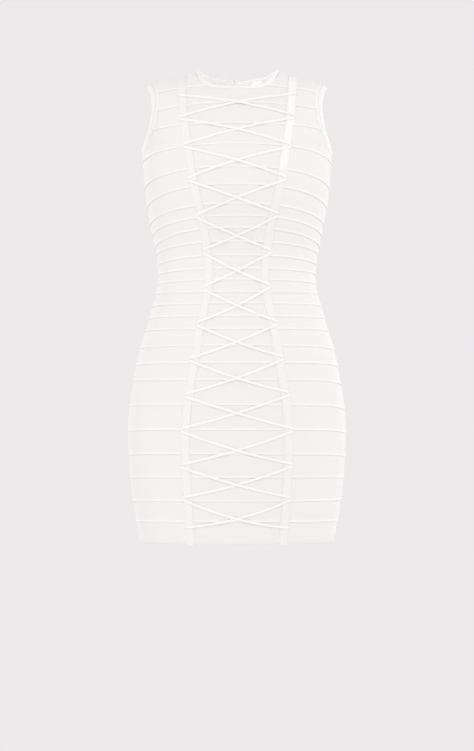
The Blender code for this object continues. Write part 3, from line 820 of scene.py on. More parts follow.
@dataclass(frozen=True)
class RibFinish:
    """Smooth ribbed tape: fine ridges along its length and a slight gloss."""

    name: str = "rib_tape"
    light: Colour = (0.897, 0.901, 0.880)
    shade: Colour = (0.860, 0.863, 0.840)
    # raised: painted highlight on the tapes' rolled edges
    raised: Colour = (0.905, 0.908, 0.890)
    # painted highlight colour, where the light falls brightest
    white: Colour = (0.952, 0.955, 0.942)
    depth: float = 0.08
    rib: float = 1.6
    loop: float = 0.7
    relief: float = 0.0002

    def material(self) -> Material:
        """Builds the material; its UV map runs across (first) and along (second) the tape."""
        tree = Tree(self.name, self.light, 0.6, Sheen_Weight=0.2, Sheen_Roughness=0.3,
                    Specular_IOR_Level=0.4)
        across, along = tree.cloth()
        ribs = (across / self.rib).wave()
        loops = (along / self.loop + 0.5 * (across / self.rib).floor()).wave()
        yarn = tree.noise(800.0, 3.0)
        height = ribs * 0.6 + loops * 0.2 + yarn * 0.2
        body = tree.blend((0.3 + 0.5 * ribs + 0.3 * yarn).between(0.1, 0.9), self.shade, self.light)
        # painted highlight where the tape's edges roll
        rolled = tree.blend(tree.value("roll"), body, self.raised)
        # painted highlight on the right tape's upper part and on the bindings
        highlighted = tree.blend(tree.value("painted_highlight"), rolled, self.white)
        tree.feed("Base Color", tree.dimmed(highlighted, self.depth * tree.value("shaded")))
        tree.feed("Roughness", 0.52 + 0.16 * tree.noise(60.0))
        tree.bump(height, self.relief, 0.6)
        return tree.material


@dataclass(frozen=True)
class LaceFinish:
    """Knitted tubular cord: a herringbone of loops that runs along the strand."""

    name: str = "lace_knit"
    light: Colour = (0.985, 0.988, 0.972)
    shade: Colour = (0.930, 0.933, 0.912)
    column: float = 1.1
    loop: float = 1.3
    slant: float = 1.2  # how far a loop leans across its column
    relief: float = 0.0003

    def material(self) -> Material:
        """Builds the material; its UV map runs round (first) and along (second) the strand."""
        tree = Tree(self.name, self.light, 0.68, Sheen_Weight=0.3, Sheen_Roughness=0.35,
                    Specular_IOR_Level=0.3)
        around, along = tree.cloth()
        column = around / self.column
        lean = (column - column.floor() - 0.5).distance() * self.slant
        loops = (along / self.loop + lean).wave()
        columns = column.wave()
        yarn = tree.noise(900.0, 3.0)
        height = loops * 0.45 + columns * 0.35 + yarn * 0.2
        tree.feed("Base Color", tree.blend(height.between(0.1, 0.8), self.shade, self.light))
        tree.feed("Roughness", 0.62 + 0.12 * yarn)
        tree.bump(height, self.relief, 0.7)
        return tree.material


@dataclass(frozen=True)
class ThreadFinish:
    """Twisted sewing thread."""

    name: str = "thread"
    light: Colour = (0.95, 0.945, 0.935)
    shade: Colour = (0.82, 0.81, 0.79)

    def material(self) -> Material:
        """Builds the material from noise finer than the thread."""
        tree = Tree(self.name, self.light, 0.55, Specular_IOR_Level=0.4)
        twist = tree.noise(2600.0, 1.0)
        tree.feed("Base Color", tree.blend(twist.between(0.3, 0.7), self.shade, self.light))
        tree.bump(twist, 0.00008, 0.6)
        return tree.material


@dataclass(frozen=True)
class CoilFinish:
    """Nylon zip coil."""

    name: str = "zip_coil"
    colour: Colour = (0.945, 0.945, 0.93)
    worn: Colour = (0.88, 0.88, 0.86)

    def material(self) -> Material:
        """Builds the material: satin nylon with slightly duller patches."""
        tree = Tree(self.name, self.colour, 0.38, Specular_IOR_Level=0.5)
        patch = tree.noise(140.0, 2.0)
        tree.feed("Base Color", tree.blend(patch.between(0.35, 0.7), self.worn, self.colour))
        tree.feed("Roughness", 0.32 + 0.16 * patch)
        return tree.material


@dataclass(frozen=True)
class EnamelFinish:
    """White enamel on small metal parts, worn through in specks."""

    name: str = "coated_metal"
    enamel: Colour = (0.90, 0.90, 0.895)
    metal: Colour = (0.62, 0.62, 0.61)

    def material(self) -> Material:
        """Builds the material: worn specks show the metal."""
        tree = Tree(self.name, self.enamel, 0.3, Specular_IOR_Level=0.5, Coat_Roughness=0.15)
        speck = tree.noise(1500.0, 4.0).between(0.66, 0.74)
        tree.feed("Base Color", tree.blend(speck, self.enamel, self.metal))
        tree.feed("Metallic", speck * 0.9)
        tree.feed("Roughness", 0.26 + 0.12 * tree.noise(300.0))
        tree.bump(tree.noise(700.0, 2.0), 0.00005, 0.35)
        return tree.material


@dataclass(frozen=True)
class WireFinish:
    """Bright plated wire."""

    name: str = "plated_wire"
    colour: Colour = (0.90, 0.895, 0.885)
    dull: Colour = (0.74, 0.735, 0.72)

    def material(self) -> Material:
        """Builds the material: polished metal with faint drawing marks."""
        tree = Tree(self.name, self.colour, 0.22, Metallic=1.0)
        marks = tree.noise(1200.0, 3.0)
        tree.feed("Base Color", tree.blend(marks.between(0.55, 0.75), self.colour, self.dull))
        tree.feed("Roughness", 0.16 + 0.16 * marks)
        return tree.material


@dataclass(frozen=True)
class SatinFinish:
    """Woven satin label."""

    name: str = "label_satin"
    light: Colour = (0.95, 0.95, 0.945)
    shade: Colour = (0.88, 0.88, 0.87)
    pick: float = 0.35
    painted_glow: float = 0.0  # painted glow: light that the cloth gives off though it is no lamp
    depth: float = 0.35  # share of the light that full shade takes

    def material(self) -> Material:
        """Builds the material: fine picks across a glossy warp."""
        tree = Tree(self.name, self.light, 0.4, Sheen_Weight=0.1, Specular_IOR_Level=0.5,
                    Emission_Strength=self.painted_glow, Emission_Color=(1.0, 1.0, 1.0, 1.0))
        across, up = tree.cloth()
        weave = (up / self.pick + 0.5 * (across / self.pick).floor()).wave()
        body = tree.blend(weave.between(0.1, 0.9), self.shade, self.light)
        tree.feed("Base Color", tree.dimmed(body, self.depth * tree.value("shaded")))
        tree.bump(weave, 0.00008, 0.5)
        return tree.material


@dataclass(frozen=True)
class BackdropFinish:
    """Plain pale paint of the studio floor."""

    name: str = "studio_floor"
    colour: Colour = (0.80, 0.787, 0.793)

    def material(self) -> Material:
        """Builds the material with the faintest mottling."""
        tree = Tree(self.name, self.colour, 0.9, Specular_IOR_Level=0.1)
        darker = tuple(part * 0.985 for part in self.colour)
        tree.feed("Base Color", tree.blend(tree.noise(1.5), darker, self.colour))
        return tree.material


# ---- Studio ----


@dataclass
class Studio:
    """Camera, backdrop and soft lights round the hanging dress."""

    distance: float = 5.0  # camera to the side seams' plane
    eye_height: float = 285.5  # above the hem
    view_height: float = 1.2917  # height of the frame at that distance
    sensor: float = 36.0
    floor_drop: float = 600.0  # floor below the hem
    floor_size: float = 3.4
    floor_ticks: int = 9
    sky: Colour = (0.8388, 0.8228, 0.8308)
    aim: Point = (0.0, 0.0, -0.4)  # what the lights face, in metres in the shared frame

    # Each light's middle, its width and height in metres, and the radiance that it gives a white
    # surface facing it.
    LIGHTS = {
        "key": ((3.5, -6.0, 2.4), (2.4, 2.4), 0.093),
        "front_fill": ((-1.0, -7.0, -0.6), (4.5, 3.5), 0.068),
        "left_fill": ((-5.0, -5.0, 0.5), (2.0, 2.4), 0.079),
        "left_side": ((-6.0, -1.5, -0.8), (1.6, 2.6), 0.066),
        "right_side": ((6.0, -1.5, 0.9), (1.6, 2.6), 0.064),
        "right_edge": ((5.5, 1.8, 0.3), (1.6, 2.6), 0.104),
        "left_rim": ((-3.5, 5.0, 0.6), (1.6, 2.6), 0.16),
        "right_rim": ((3.5, 5.0, 0.6), (1.6, 2.6), 0.13),
    }
    # Light that thin white cloth lets through to the dress's inside: its height and its watts.
    GLOWS = {"chest_glow": (650.0, 0.225), "waist_glow": (400.0, 0.05), "hip_glow": (160.0, 0.08)}

    def place(self, name: str, data: bpy.types.ID, spot: Point) -> Piece:
        """Adds an object.

        Args:
            name: The object's name.
            data: Its camera or light.
            spot: Its place in metres.

        Returns:
            The new object, which no camera sees.
        """
        made = bpy.data.objects.new(name, data)
        made.location = spot
        made.visible_camera = False
        bpy.context.scene.collection.objects.link(made)
        return made

    def camera(self) -> None:
        """Places the level camera that looks along +Y."""
        data = bpy.data.cameras.new("camera")
        data.sensor_fit = "VERTICAL"
        data.sensor_height = self.sensor
        data.lens = self.sensor * self.distance / self.view_height
        data.clip_end = 60.0
        eye = (self.eye_height - SHOULDER_HEIGHT) * MM
        made = self.place("camera", data, (0.0, -self.distance, eye))
        made.rotation_euler = (math.pi / 2, 0.0, 0.0)
        bpy.context.scene.camera = made

    def surroundings(self) -> None:
        """Plain pale light from all sides, and a plain floor under the dress."""
        scene = bpy.context.scene
        scene.view_settings.view_transform = "Standard"
        world = bpy.data.worlds.new("studio")
        world.use_nodes = True
        background = world.node_tree.nodes["Background"]
        background.inputs["Color"].default_value = (*self.sky, 1.0)
        background.inputs["Strength"].default_value = 1.0
        scene.world = world
        half = self.floor_size / 2 / MM
        ticks = np.linspace(-half, half, self.floor_ticks)
        points = joined(*np.meshgrid(ticks, ticks), -self.floor_drop).reshape(-1, 3)
        quads = grid_quads(self.floor_ticks, self.floor_ticks)
        add_piece("floor", points, [quads], BackdropFinish().material())

    def lights(self) -> None:
        """Adds the soft lights; one's power is strength * pi^2 * distance^2."""
        for name, (spot, size, strength) in self.LIGHTS.items():
            data = bpy.data.lights.new(name, "AREA")
            data.shape = "RECTANGLE"
            data.size, data.size_y = size
            way = Vector(spot) - Vector(self.aim)
            data.energy = strength * math.pi**2 * way.length_squared
            self.place(name, data, spot).rotation_euler = way.to_track_quat("Z", "Y").to_euler()
        for name, (height, power) in self.GLOWS.items():
            data = bpy.data.lights.new(name, "POINT")
            data.energy = power
            data.shadow_soft_size = 0.05
            self.place(name, data, (0.0, 0.0, (height - SHOULDER_HEIGHT) * MM))

    def build(self) -> None:
        """Sets up the whole studio."""
        self.camera()
        self.surroundings()
        self.lights()


# ---- Panels ----

# Section through a strip's rolled lower edge: height above its foot, and distance off the form.
LIP = table(("rise", "lift"), (
    (-0.25, 0.3), (-0.22, 0.85), (0.05, 1.25), (0.5, 1.5), (1.1, 1.56), (1.8, 1.44), (2.6, 1.16),
    (3.4, 0.86), (4.2, 0.64), (5, 0.52),
))
# The hem is turned in and lies flatter.
HEM_EDGE = table(("rise", "lift"), (
    (0, -0.7), (0.12, -0.2), (0.5, 0.15), (1.2, 0.3), (2.2, 0.36), (3.6, 0.46), (5, 0.52),
))


@dataclass
class RowLines:
    """The rows of every panel's grid, from the hem up, finer where a strip's edge rolls."""

    step: float = 4.6  # rows between two lips
    tuck: float = 0.14  # how deep a strip dips in under the next one's lip
    bulge: float = 0.30  # how far a strip stands out between its seams
    settle: float = 0.52  # lift that a strip keeps above its lip, falling to its top
    underarm: float = 661.5  # height from which the armhole's bottom needs close rows
    top_rows: int = 16
    spacing: float = 0.01  # least height between rows that run into the neckline
    shade_reach: float = 2.0  # breadth of the shade under a lip
    lip_shade: float = 0.35  # and of the shade right at its foot
    hem_shade: float = 1.2
    hem_fade: float = 2.6
    clear: float = 20.0  # a height above a lip that has no lip's looks
    close_rows: int = 8  # rows beside the armhole's bottom, each farther from the last
    close_step: float = 0.45
    near_top: tuple[float, ...] = (3.0, 1.6, 0.7)  # rows this far below the next strip's foot
    tuck_reach: float = 3.0
    columns: dict[str, Array] = field(default_factory=dict)

    NAMES = ("middle", "left", "right", "back", "rise", "lift", "top_share", "edge", "under")

    def __post_init__(self) -> None:
        """Builds the rows strip by strip."""
        edges = np.column_stack([BANDS[key] for key in self.NAMES[:4]])[::-1]
        parts = []
        below = np.zeros(4)
        for number, above in enumerate(edges):
            parts.append(self._strip(below, above, HEM_EDGE if number == 0 else LIP))
            below = above
        parts.append(self._top(below))
        self.columns = dict(zip(self.NAMES, np.concatenate(parts).T))

    def _rows(self, feet: Array, *numbers: Array) -> Array:
        """Rows from their four heights and the numbers that follow those in NAMES."""
        return np.concatenate((feet, joined(*numbers)), axis=1)

    def _lip(self, foot: Array, profile: dict[str, Array]) -> Array:
        """Rows of the rolled edge above a foot line; the hem has no lip, and is darker below.

        Args:
            foot: The four heights of the foot line.
            profile: Section of the edge.

        Returns:
            One row of numbers for each line.
        """
        rise = profile["rise"]
        feet = np.tile(foot, (len(rise), 1))
        if profile is HEM_EDGE:
            edge, under = rise + self.clear, self.hem_shade * np.exp(-rise / self.hem_fade)
        else:
            edge, under = np.maximum(rise, 0), bell(rise + 0.3, self.lip_shade)
        return self._rows(feet, rise, profile["lift"], 0.0, edge, under)

    def _strip(self, below: Array, above: Array, profile: dict[str, Array]) -> Array:
        """Rows of one strip, from its own foot to the next strip's foot.

        The lift falls from `settle` to -tuck, with a half sine wave of `bulge` on top.

        Args:
            below: The four heights of the strip's foot.
            above: The same for the next strip.
            profile: Section of its rolled edge.

        Returns:
            One row of numbers for each line.
        """
        gap = above[3] - below[3]
        start = profile["rise"][-1]
        count = math.ceil((gap - start) / self.step)
        share = np.arange(1, count + 1) / count
        if below[3] < self.underarm < above[3]:
            number = np.arange(1, self.close_rows + 1)
            close = self.underarm - below[3] + self.close_step * number**2
            share = np.unique(np.concatenate((share, close / gap)).round(4))
        near_top = 1 - np.array(self.near_top) / gap
        share = np.unique(np.concatenate((share, near_top)).round(4))
        rise = start * (1 - share)
        to_top = (1 - share) * gap
        lift = self.settle * (1 - share)**2 + self.bulge * np.sin(math.pi * share)
        lift -= self.tuck * np.clip(1 - to_top / self.tuck_reach, 0, 1)**2
        under = bell(to_top, self.shade_reach)
        body = self._rows(below + (above - below) * share[:, None],
                          rise, lift, 0.0, gap * share + rise, under)
        return np.concatenate((self._lip(below, profile), body))

    def _top(self, below: Array) -> Array:
        """Rows from the uppermost strip's foot to the neckline and shoulders.

        Args:
            below: The four heights of that foot.

        Returns:
            One row of numbers for each line.
        """
        share = np.arange(1, self.top_rows + 1) / self.top_rows
        feet = np.tile(below, (self.top_rows, 1))
        body = self._rows(feet, LIP["rise"][-1], self.settle * (1 - share), share,
                          (0.5 + share) * self.clear, 0.0)
        return np.concatenate((self._lip(below, LIP), body))

    @property
    def count(self) -> int:
        """Number of rows."""
        return len(self.columns["back"])

    def only(self, rows: Array) -> RowLines:
        """The same lines with some of the rows alone.

        Args:
            rows: Numbers of the rows.

        Returns:
            New lines.
        """
        chosen = copy(self)
        chosen.columns = {key: values[rows] for key, values in self.columns.items()}
        return chosen


@dataclass
class PanelCut:
    """Places a panel's grid on the form, between two lines that run up the dress."""

    lines: RowLines
    side: Side
    hand: Hand = Hand.RIGHT  # the hand whose edges it follows; its points lie on the right
    droop_reach: float = 0.45  # angle over which a strip's edge droops at the side
    rounds: int = 10  # of fitting a row to the width of the form at its height

    def placed(self, angle: Array) -> tuple[Array, Array]:
        """Points on the row lines; the angle runs from 0 at the side to 90 degrees in the middle.

        x is half width * cos(angle)^(2/n) and y is depth * fullness * sin(angle)^(2/n). A row's
        height is that at its side, plus the climb to its middle times y's last factor^lean. Rows
        above the last strip's edge close on the neckline or the shoulder line.

        Args:
            angle: Angles, rows by columns.

        Returns:
            The points, and how far the neckline has pressed each one down.
        """
        hand = self.hand.word
        front = self.side == Side.FRONT
        middle, edge, rise, top_share = (self.lines.columns[key][:, None] for key in (
            "middle" if front else "back", hand, "rise", "top_share"))
        in_depth = np.sin(angle)**(2 / FORM.roundness)
        across = np.cos(angle)**(2 / FORM.roundness)
        line = edge + (middle - edge) * in_depth**(STRIP_LEAN if front else 1.0) + rise
        line = line - (np.interp(line, DROOP["height"], DROOP[hand])
                       * bell(angle, self.droop_reach))
        above = np.arange(self.lines.count)[::-1, None] * self.lines.spacing
        height = free = line
        for _ in range(self.rounds):
            x = across * FORM.half_width(height)
            neck = x < NECKLINE.half_width[0]
            top = np.where(neck, NECKLINE.height(x, self.side), FORM.shoulder_line(x))
            free = line + (top - line) * np.sin(top_share * math.pi / 2)
            height = np.minimum(free, top - above)
        depth = self.side.value * FORM.depth(height, self.side) * FORM.fullness(x, height)
        return joined(x, depth * in_depth, height), free - height

    def last(self, holds: Test, start: float, end: float) -> Array:
        """The last angle on each row, from one to another, whose point passes a test."""
        size = (self.lines.count, 1)
        return bisect(lambda angle: holds(self.placed(angle)[0]),
                      np.full(size, start), np.full(size, end))

    def at_distance(self, distance: Test) -> Array:
        """The angle on each row at which it is `distance(height)` from the middle."""
        return self.last(lambda points: points[..., 0] >= distance(points[..., 2]),
                         0.0, math.pi / 2)

    def at_side(self, clearance: float) -> Array:
        """The angle on each row at the armhole, or 0 at the side seam below it."""
        heights, depths = ARMHOLE.seam(self.side, clearance)
        return self.last(lambda points: np.abs(points[..., 1]) >= np.interp(
            points[..., 2], heights, depths, left=0.0, right=0.0), math.pi / 2, 0.0)


# Soft creases. Distances are round from the middle, and tilts are up to the side in degrees.
PULLS = table(("height", "around", "length", "width", "tilt", "depth"), (
    (596, 128, 62, 9, -24, 0.9), (560, 112, 54, 8, -16, 0.8), (531, 138, 44, 7, -20, 0.7),
    (482, 118, 40, 6, 12, 0.7), (466, 140, 34, 5, 18, 0.9), (450, 126, 46, 6, 8, 0.8),
    (434, 144, 38, 6, 20, 0.8), (410, 120, 50, 8, 14, 0.6), (655, 150, 52, 10, 30, 0.9),
    (690, 138, 44, 9, 42, 0.8), (330, 150, 90, 14, 8, 0.7), (215, 120, 110, 18, -4, 0.6),
    (96, 160, 80, 16, 6, 0.6),
))


@dataclass
class Knit:
    """The bandage knit: five panels of strips, each with a rolled lower edge."""

    finish: Material
    lines: RowLines = field(default_factory=RowLines)
    tape_fade: float = 0.92  # share of the lips' lift that is lost where a tape covers them
    binding_fade: float = 0.85  # and under a binding
    edge_reach: float = 2.3
    tucked: float = 1.15  # how far a panel reaches under a tape
    tape_shade: float = 0.40  # shade on a panel beside a tape
    shade_reach: float = 2.4
    close: tuple[float, ...] = (0.5, 1.1, 1.9)  # extra columns beside a panel's edges
    typical_width: float = 85.0  # the width for which those are spaced
    lap: float = 0.25  # how far a panel reaches past the side and shoulder seams
    seam_depth: float = 0.38  # depth of the groove along those seams
    seam_width: float = 0.8
    pressed_flat: float = 2.0  # a lip that the neckline presses down this far has no lift
    centre_shade: float = 0.10  # the laced panel lies a little in the laces' shade
    crease_shift: float = 9.0  # how far a crease's place and tilt vary between panels
    crease_turn: float = 8.0
    crease_vary: float = 0.4
    zip_seam: float = 2.6 / 230.0  # share of a back panel's width at which it is sewn to the zip
    zip_seam_end: float = 6.0  # how far that seam ends from the zip's ends
    zip_edges: list[Seam] = field(default_factory=list)

    def creases(self, around: Array, height: Array, seed: float) -> Array:
        """Depth of the soft troughs: a sum of long Gaussian bells, each turned by its tilt.

        Args:
            around: Distance round from the middle.
            height: Height above the hem.
            seed: Shifts the creases of one panel against another's.

        Returns:
            The depth in millimetres.
        """
        total = np.zeros_like(around)
        for number in range(len(PULLS["height"])):
            pull = {key: values[number] for key, values in PULLS.items()}
            shift = self.crease_shift * math.sin(seed * 3.1 + number * 1.7)
            tilt = math.radians(pull["tilt"] + self.crease_turn * math.sin(seed * 5.3 + number))
            u = around - pull["around"] - shift
            v = height - pull["height"] - shift
            along = (u * math.cos(tilt) + v * math.sin(tilt)) / (0.5 * pull["length"])
            across = (v * math.cos(tilt) - u * math.sin(tilt)) / (0.5 * pull["width"])
            vary = 0.8 + self.crease_vary * math.sin(seed * 2.3 + number * 2.9)
            total += pull["depth"] * vary * np.exp(-along**2 - across**2)
        return total

    def shares(self, columns: int) -> Array:
        """Shares of the way across, even but for closer ones beside both edges.

        Args:
            columns: Number of the even ones.

        Returns:
            The shares, rising.
        """
        near = np.array(self.close) / self.typical_width
        even = np.linspace(0, 1, columns)
        open_to = (even > near[-1]) & (even < 1 - near[-1])
        open_to[[0, -1]] = True
        return np.union1d(even[open_to], np.concatenate((near, 1 - near)))

    def grid(self, cut: PanelCut, start: Array, end: Array, columns: int, fades: Spot,
             seed: float, middle_first: bool = True, shade: float = 0.4) -> tuple[Array, ...]:
        """Works out a panel's outer and inner points.

        Args:
            cut: The panel's place on the form.
            start: Angle of each row at the edge nearer the middle.
            end: Angle of each row at the other edge.
            columns: Number of columns.
            fades: Shares of the lips' lift that are lost at the first and last edge.
            seed: Tells the panel's creases from another's.
            middle_first: Whether the first column is in the middle of the dress.
            shade: Depth of the shade under its lips.

        Returns:
            Outer points, inner points, cloth coordinates, heights above the strip's edge, shade.
        """
        base, pressed = cut.placed(start + (end - start) * self.shares(columns))
        seam = bell(base[..., 1], self.seam_width)
        base[..., 1] = cut.side.value * (np.abs(base[..., 1]) - self.lap * seam)
        normal = FORM.outward(base)
        around = arc_length(base, axis=1)
        if not middle_first:
            around = around + base[:, :1, 0]
        from_first = around - around[:, :1]
        from_last = around[:, -1:] - around
        lift = cut.lines.columns["lift"][:, None] * np.clip(1 - pressed / self.pressed_flat, 0, 1)
        lift = lift * (1 - fades[0] * bell(from_first, self.edge_reach))
        covered = middle_first | (end > 1e-3)
        lift = lift * (1 - fades[1] * covered * bell(from_last, self.edge_reach))
        creases = self.creases(around, base[..., 2], seed)
        outer = base + normal * (lift - creases - self.seam_depth * seam)[..., None]
        inner = base - normal * (WALL + creases)[..., None]
        edge = np.broadcast_to(cut.lines.columns["edge"][:, None], around.shape)
        shaded = np.broadcast_to(shade * cut.lines.columns["under"][:, None], around.shape)
        for fade, far in zip(fades, (from_first, from_last)):
            if fade == self.tape_fade:
                shaded = shaded + self.tape_shade * bell(far, self.shade_reach)
        return outer, inner, joined(around, arc_length(base)), edge, shaded

    def front_centre(self) -> None:
        """The laced panel between the tapes: two halves that meet in the middle."""
        halves = []
        for hand in (Hand.LEFT, Hand.RIGHT):
            cut = PanelCut(self.lines, Side.FRONT, hand)
            seam = cut.at_distance(lambda height: FORM.tape_inner(height) + self.tucked)
            middle = np.full_like(seam, math.pi / 2)
            parts = self.grid(cut, middle, seam, 27, (0.0, self.tape_fade), 0.4, shade=0.15)
            parts[0][:, 0, 0] = parts[1][:, 0, 0] = 0.0
            halves.append(parts)
        signs = ((-1.0, 1.0, 1.0), (-1.0, 1.0, 1.0), (-1.0, 1.0), 1.0, 1.0)
        outer, inner, uv, edge, shaded = (
            np.concatenate((left[:, :0:-1] * sign, right), axis=1)
            for left, right, sign in zip(*halves, signs))
        values = {"edge": edge, "shaded": shaded + self.centre_shade}
        piece = add_shell("front_centre_knit", outer, inner, uv, self.finish, values)
        declare(piece, "front_centre", flat=(0.186, 0.865))

    def half(self, node: str, cut: PanelCut, inner: Test, columns: int, fade: float, seed: float,
             flat: Spot, area: float) -> Array:
        """Makes a panel of one hand, out to the side seam, the armhole and the shoulder.

        Args:
            node: The solid's name without its hand.
            cut: The panel's place on the form.
            inner: Distance of its inner edge from the middle, by height.
            columns: Number of columns.
            fade: Share of the lips' lift that is lost at the inner edge.
            seed: Tells the panel's creases from another's.
            flat: The cut cloth's width and length in metres.
            area: Its area in square metres; not used.

        Returns:
            The outer face's points.
        """
        name, of = f"{node}_{cut.hand.word}", cut.hand.of
        outer, inner, uv, edge, shaded = self.grid(
            cut, cut.at_distance(inner), cut.at_side(0.1), columns, (fade, self.binding_fade), seed,
            middle_first=False)
        piece = add_shell(f"{name}_knit", of(outer), of(inner), uv, self.finish,
                          {"edge": edge, "shaded": shaded})
        declare(piece, name, flat=flat)
        return of(outer)

    def front_side(self) -> None:
        """The panels outside the tapes."""
        for hand, seed in ((Hand.RIGHT, 1.3), (Hand.LEFT, 2.6)):
            self.half("front_side", PanelCut(self.lines, Side.FRONT, hand),
                      lambda height: FORM.tape_outer(height) - self.tucked, 40, self.tape_fade,
                      seed, (0.140, 0.868), 0.098)

    def back(self) -> None:
        """The two back panels, apart by the zip's width down to its end."""
        column = int(np.searchsorted(self.shares(64), self.zip_seam))
        low, high = ZIP.full - self.zip_seam_end, ZIP.top - self.zip_seam_end
        for hand, seed in ((Hand.RIGHT, 4.1), (Hand.LEFT, 5.7)):
            outer = self.half("back", PanelCut(self.lines, Side.BACK, hand), ZIP.half_gap, 64, 0.0,
                              seed, (0.228, 0.880), 0.162)
            path = outer[(outer[:, column, 2] > low) & (outer[:, column, 2] < high), column]
            self.zip_edges.append((path, FORM.outward(path)))

    def build(self) -> None:
        """Makes all five panels."""
        self.front_centre()
        self.front_side()
        self.back()
        log.info("knit: five panels of %d rows", self.lines.count)


# ---- Tapes and bindings ----


@dataclass
class Tapes:
    """The two flat tapes over the princess seams, with slightly raised edges."""

    finish: Material
    gap: float = 0.05
    body: float = 0.92  # how far the tape stands off the form
    edge_roll: float = 0.26  # extra height of its two rolled edges
    inner_shade: float = 0.55  # shade over the inner edge
    stitch_column: int = 6  # column of the stitches from each edge
    roll_at: float = 1.5
    roll_width: float = 0.75
    edge_low: float = 0.34  # its outer face at the very edge, just over the panel
    cover: float = 0.7  # breadth of each edge that lies over a panel
    over_panel: float = 0.16  # its underside there
    filled: float = -1.6  # its underside between the panels
    softness: float = 0.35  # breadth over which its face rises from the edge
    ripple: float = 0.12
    highlight_from: float = 630.5  # painted highlight on the right tape from here up
    painted_highlight: float = 0.9
    shade_reach: float = 2.0

    # Distance in from the edges of the grid's columns, closer where the edges roll.
    NEAR = (0.0, 0.12, 0.35, 0.7, 1.1, 1.5, 1.9, 2.4, 3.2, 4.4, 5.8)

    def columns(self) -> Array:
        """The columns' distances from the inner edge."""
        near = np.array(self.NEAR)
        return np.concatenate((near, [FORM.tape_width / 2], FORM.tape_width - near[::-1]))

    def section(self, near: Array) -> tuple[Array, Array]:
        """The tape's two faces: the outer one rises from its edge and has a bell where it rolls.

        Args:
            near: Distances from the nearer edge.

        Returns:
            How far the outer face and the underside stand off the form.
        """
        rise = 1 - np.exp(-near / self.softness)
        roll = self.edge_roll * bell(near - self.roll_at, self.roll_width)
        face = self.edge_low + (self.body - self.edge_low) * rise + roll
        return face, np.where(near <= self.cover, self.over_panel, self.filled)

    def build(self) -> list[Seam]:
        """Makes both tapes.

        Returns:
            The lines of their stitches, each with the cloth's normals.
        """
        lines = RowLines()
        kept = np.flatnonzero(lines.columns["edge"] > 4.0)
        kept = np.union1d(kept, (0, lines.count - 1))
        lines = lines.only(kept)
        across = self.columns()
        near = np.minimum(across, FORM.tape_width - across)[None, :]
        seams = []
        for hand in Hand:
            cut = PanelCut(lines, Side.FRONT, hand)
            inner = cut.at_distance(lambda height: FORM.tape_inner(height) + self.gap)
            outer = cut.at_distance(lambda height: FORM.tape_outer(height) - self.gap)
            base = cut.placed(inner + (outer - inner) * across / FORM.tape_width)[0]
            base[..., 1] = -np.maximum(np.abs(base[..., 1]), self.gap)
            base = hand.of(base)
            normal = FORM.outward(base)
            height = base[..., 2]
            ripple = self.ripple * np.sin(height / 17.0 + hand.value) * np.sin(height / 41.0 + 1.0)
            face, under = self.section(near)
            top = base + normal * (face + ripple * np.clip(near, 0, 1))[..., None]
            bottom = base + normal * (under + 0 * height)[..., None]
            # painted highlight on the right tape alone
            painted_highlight = self.painted_highlight * (hand == Hand.RIGHT)
            name = f"tape_{hand.word}"
            # roll: where the painted highlight of the rolled edges lies
            values = {"roll": bell(near - self.roll_at + 0.3, 1.0),
                      "painted_highlight": np.clip((height - self.highlight_from) / 3.0, 0, 1) * painted_highlight,
                      "shaded": self.inner_shade * bell(across, self.shade_reach)}
            uv = joined(across, arc_length(base))
            piece = add_shell(f"{name}_rib", top, bottom, uv, self.finish, values)
            declare(piece, name, flat=(0.0143, 0.855))
            for column in (self.stitch_column, -1 - self.stitch_column):
                seams.append((top[:, column], normal[:, column]))
        log.info("tapes: two of %d rows", len(kept))
        return seams


# Middle line of a folded binding, from the outer leaf's edge over the fold to the inner leaf's:
# share of the width from the seam to the free edge, distance off the form, and thickness.
FOLD = table(("share", "lift", "thickness"), (
    (-0.17, 0.3, 0.16), (-0.12, 0.44, 0.4), (-0.05, 0.72, 0.64), (0.03, 0.96, 0.8),
    (0.1, 1.02, 0.85), (0.155, 1.03, 0.85), (0.205, 1.04, 0.85), (0.255, 1.06, 0.85),
    (0.31, 1.1, 0.85), (0.4, 1.17, 0.85), (0.55, 1.24, 0.85), (0.7, 1.18, 0.85), (0.85, 0.96, 0.85),
    (0.95, 0.45, 0.85), (0.98, -0.4, 0.85), (0.95, -1.4, 0.85), (0.85, -1.95, 0.85),
    (0.65, -2.2, 0.85), (0.4, -2.28, 0.85), (0.15, -2.3, 0.85), (0, -2.32, 0.85),
    (-0.17, -2.34, 0.85),
))
GROOVE = 0.205  # share of the width where the binding is stitched down


def folded_section(width: float, groove: float) -> tuple[Array, Array]:
    """A folded strip's section: its middle line offset both ways by half the thickness.

    Args:
        width: Width of the binding in millimetres.
        groove: How deep the stitches draw the outer leaf in, as a bell 0.05 of the width wide.

    Returns:
        Round the section, the share of the width and the distance off the form.
    """
    drawn = groove * bell(FOLD["share"] - GROOVE, 0.05) * (FOLD["lift"] > 0)
    middle = joined(FOLD["share"] * width, FOLD["lift"] - drawn)
    along = np.gradient(middle, axis=0)
    aside = unit(joined(-along[:, 1], along[:, 0])) * FOLD["thickness"][:, None] / 2
    loop = np.concatenate((middle + aside, (middle - aside)[::-1]))
    return loop[:, 0] / width, loop[:, 1]


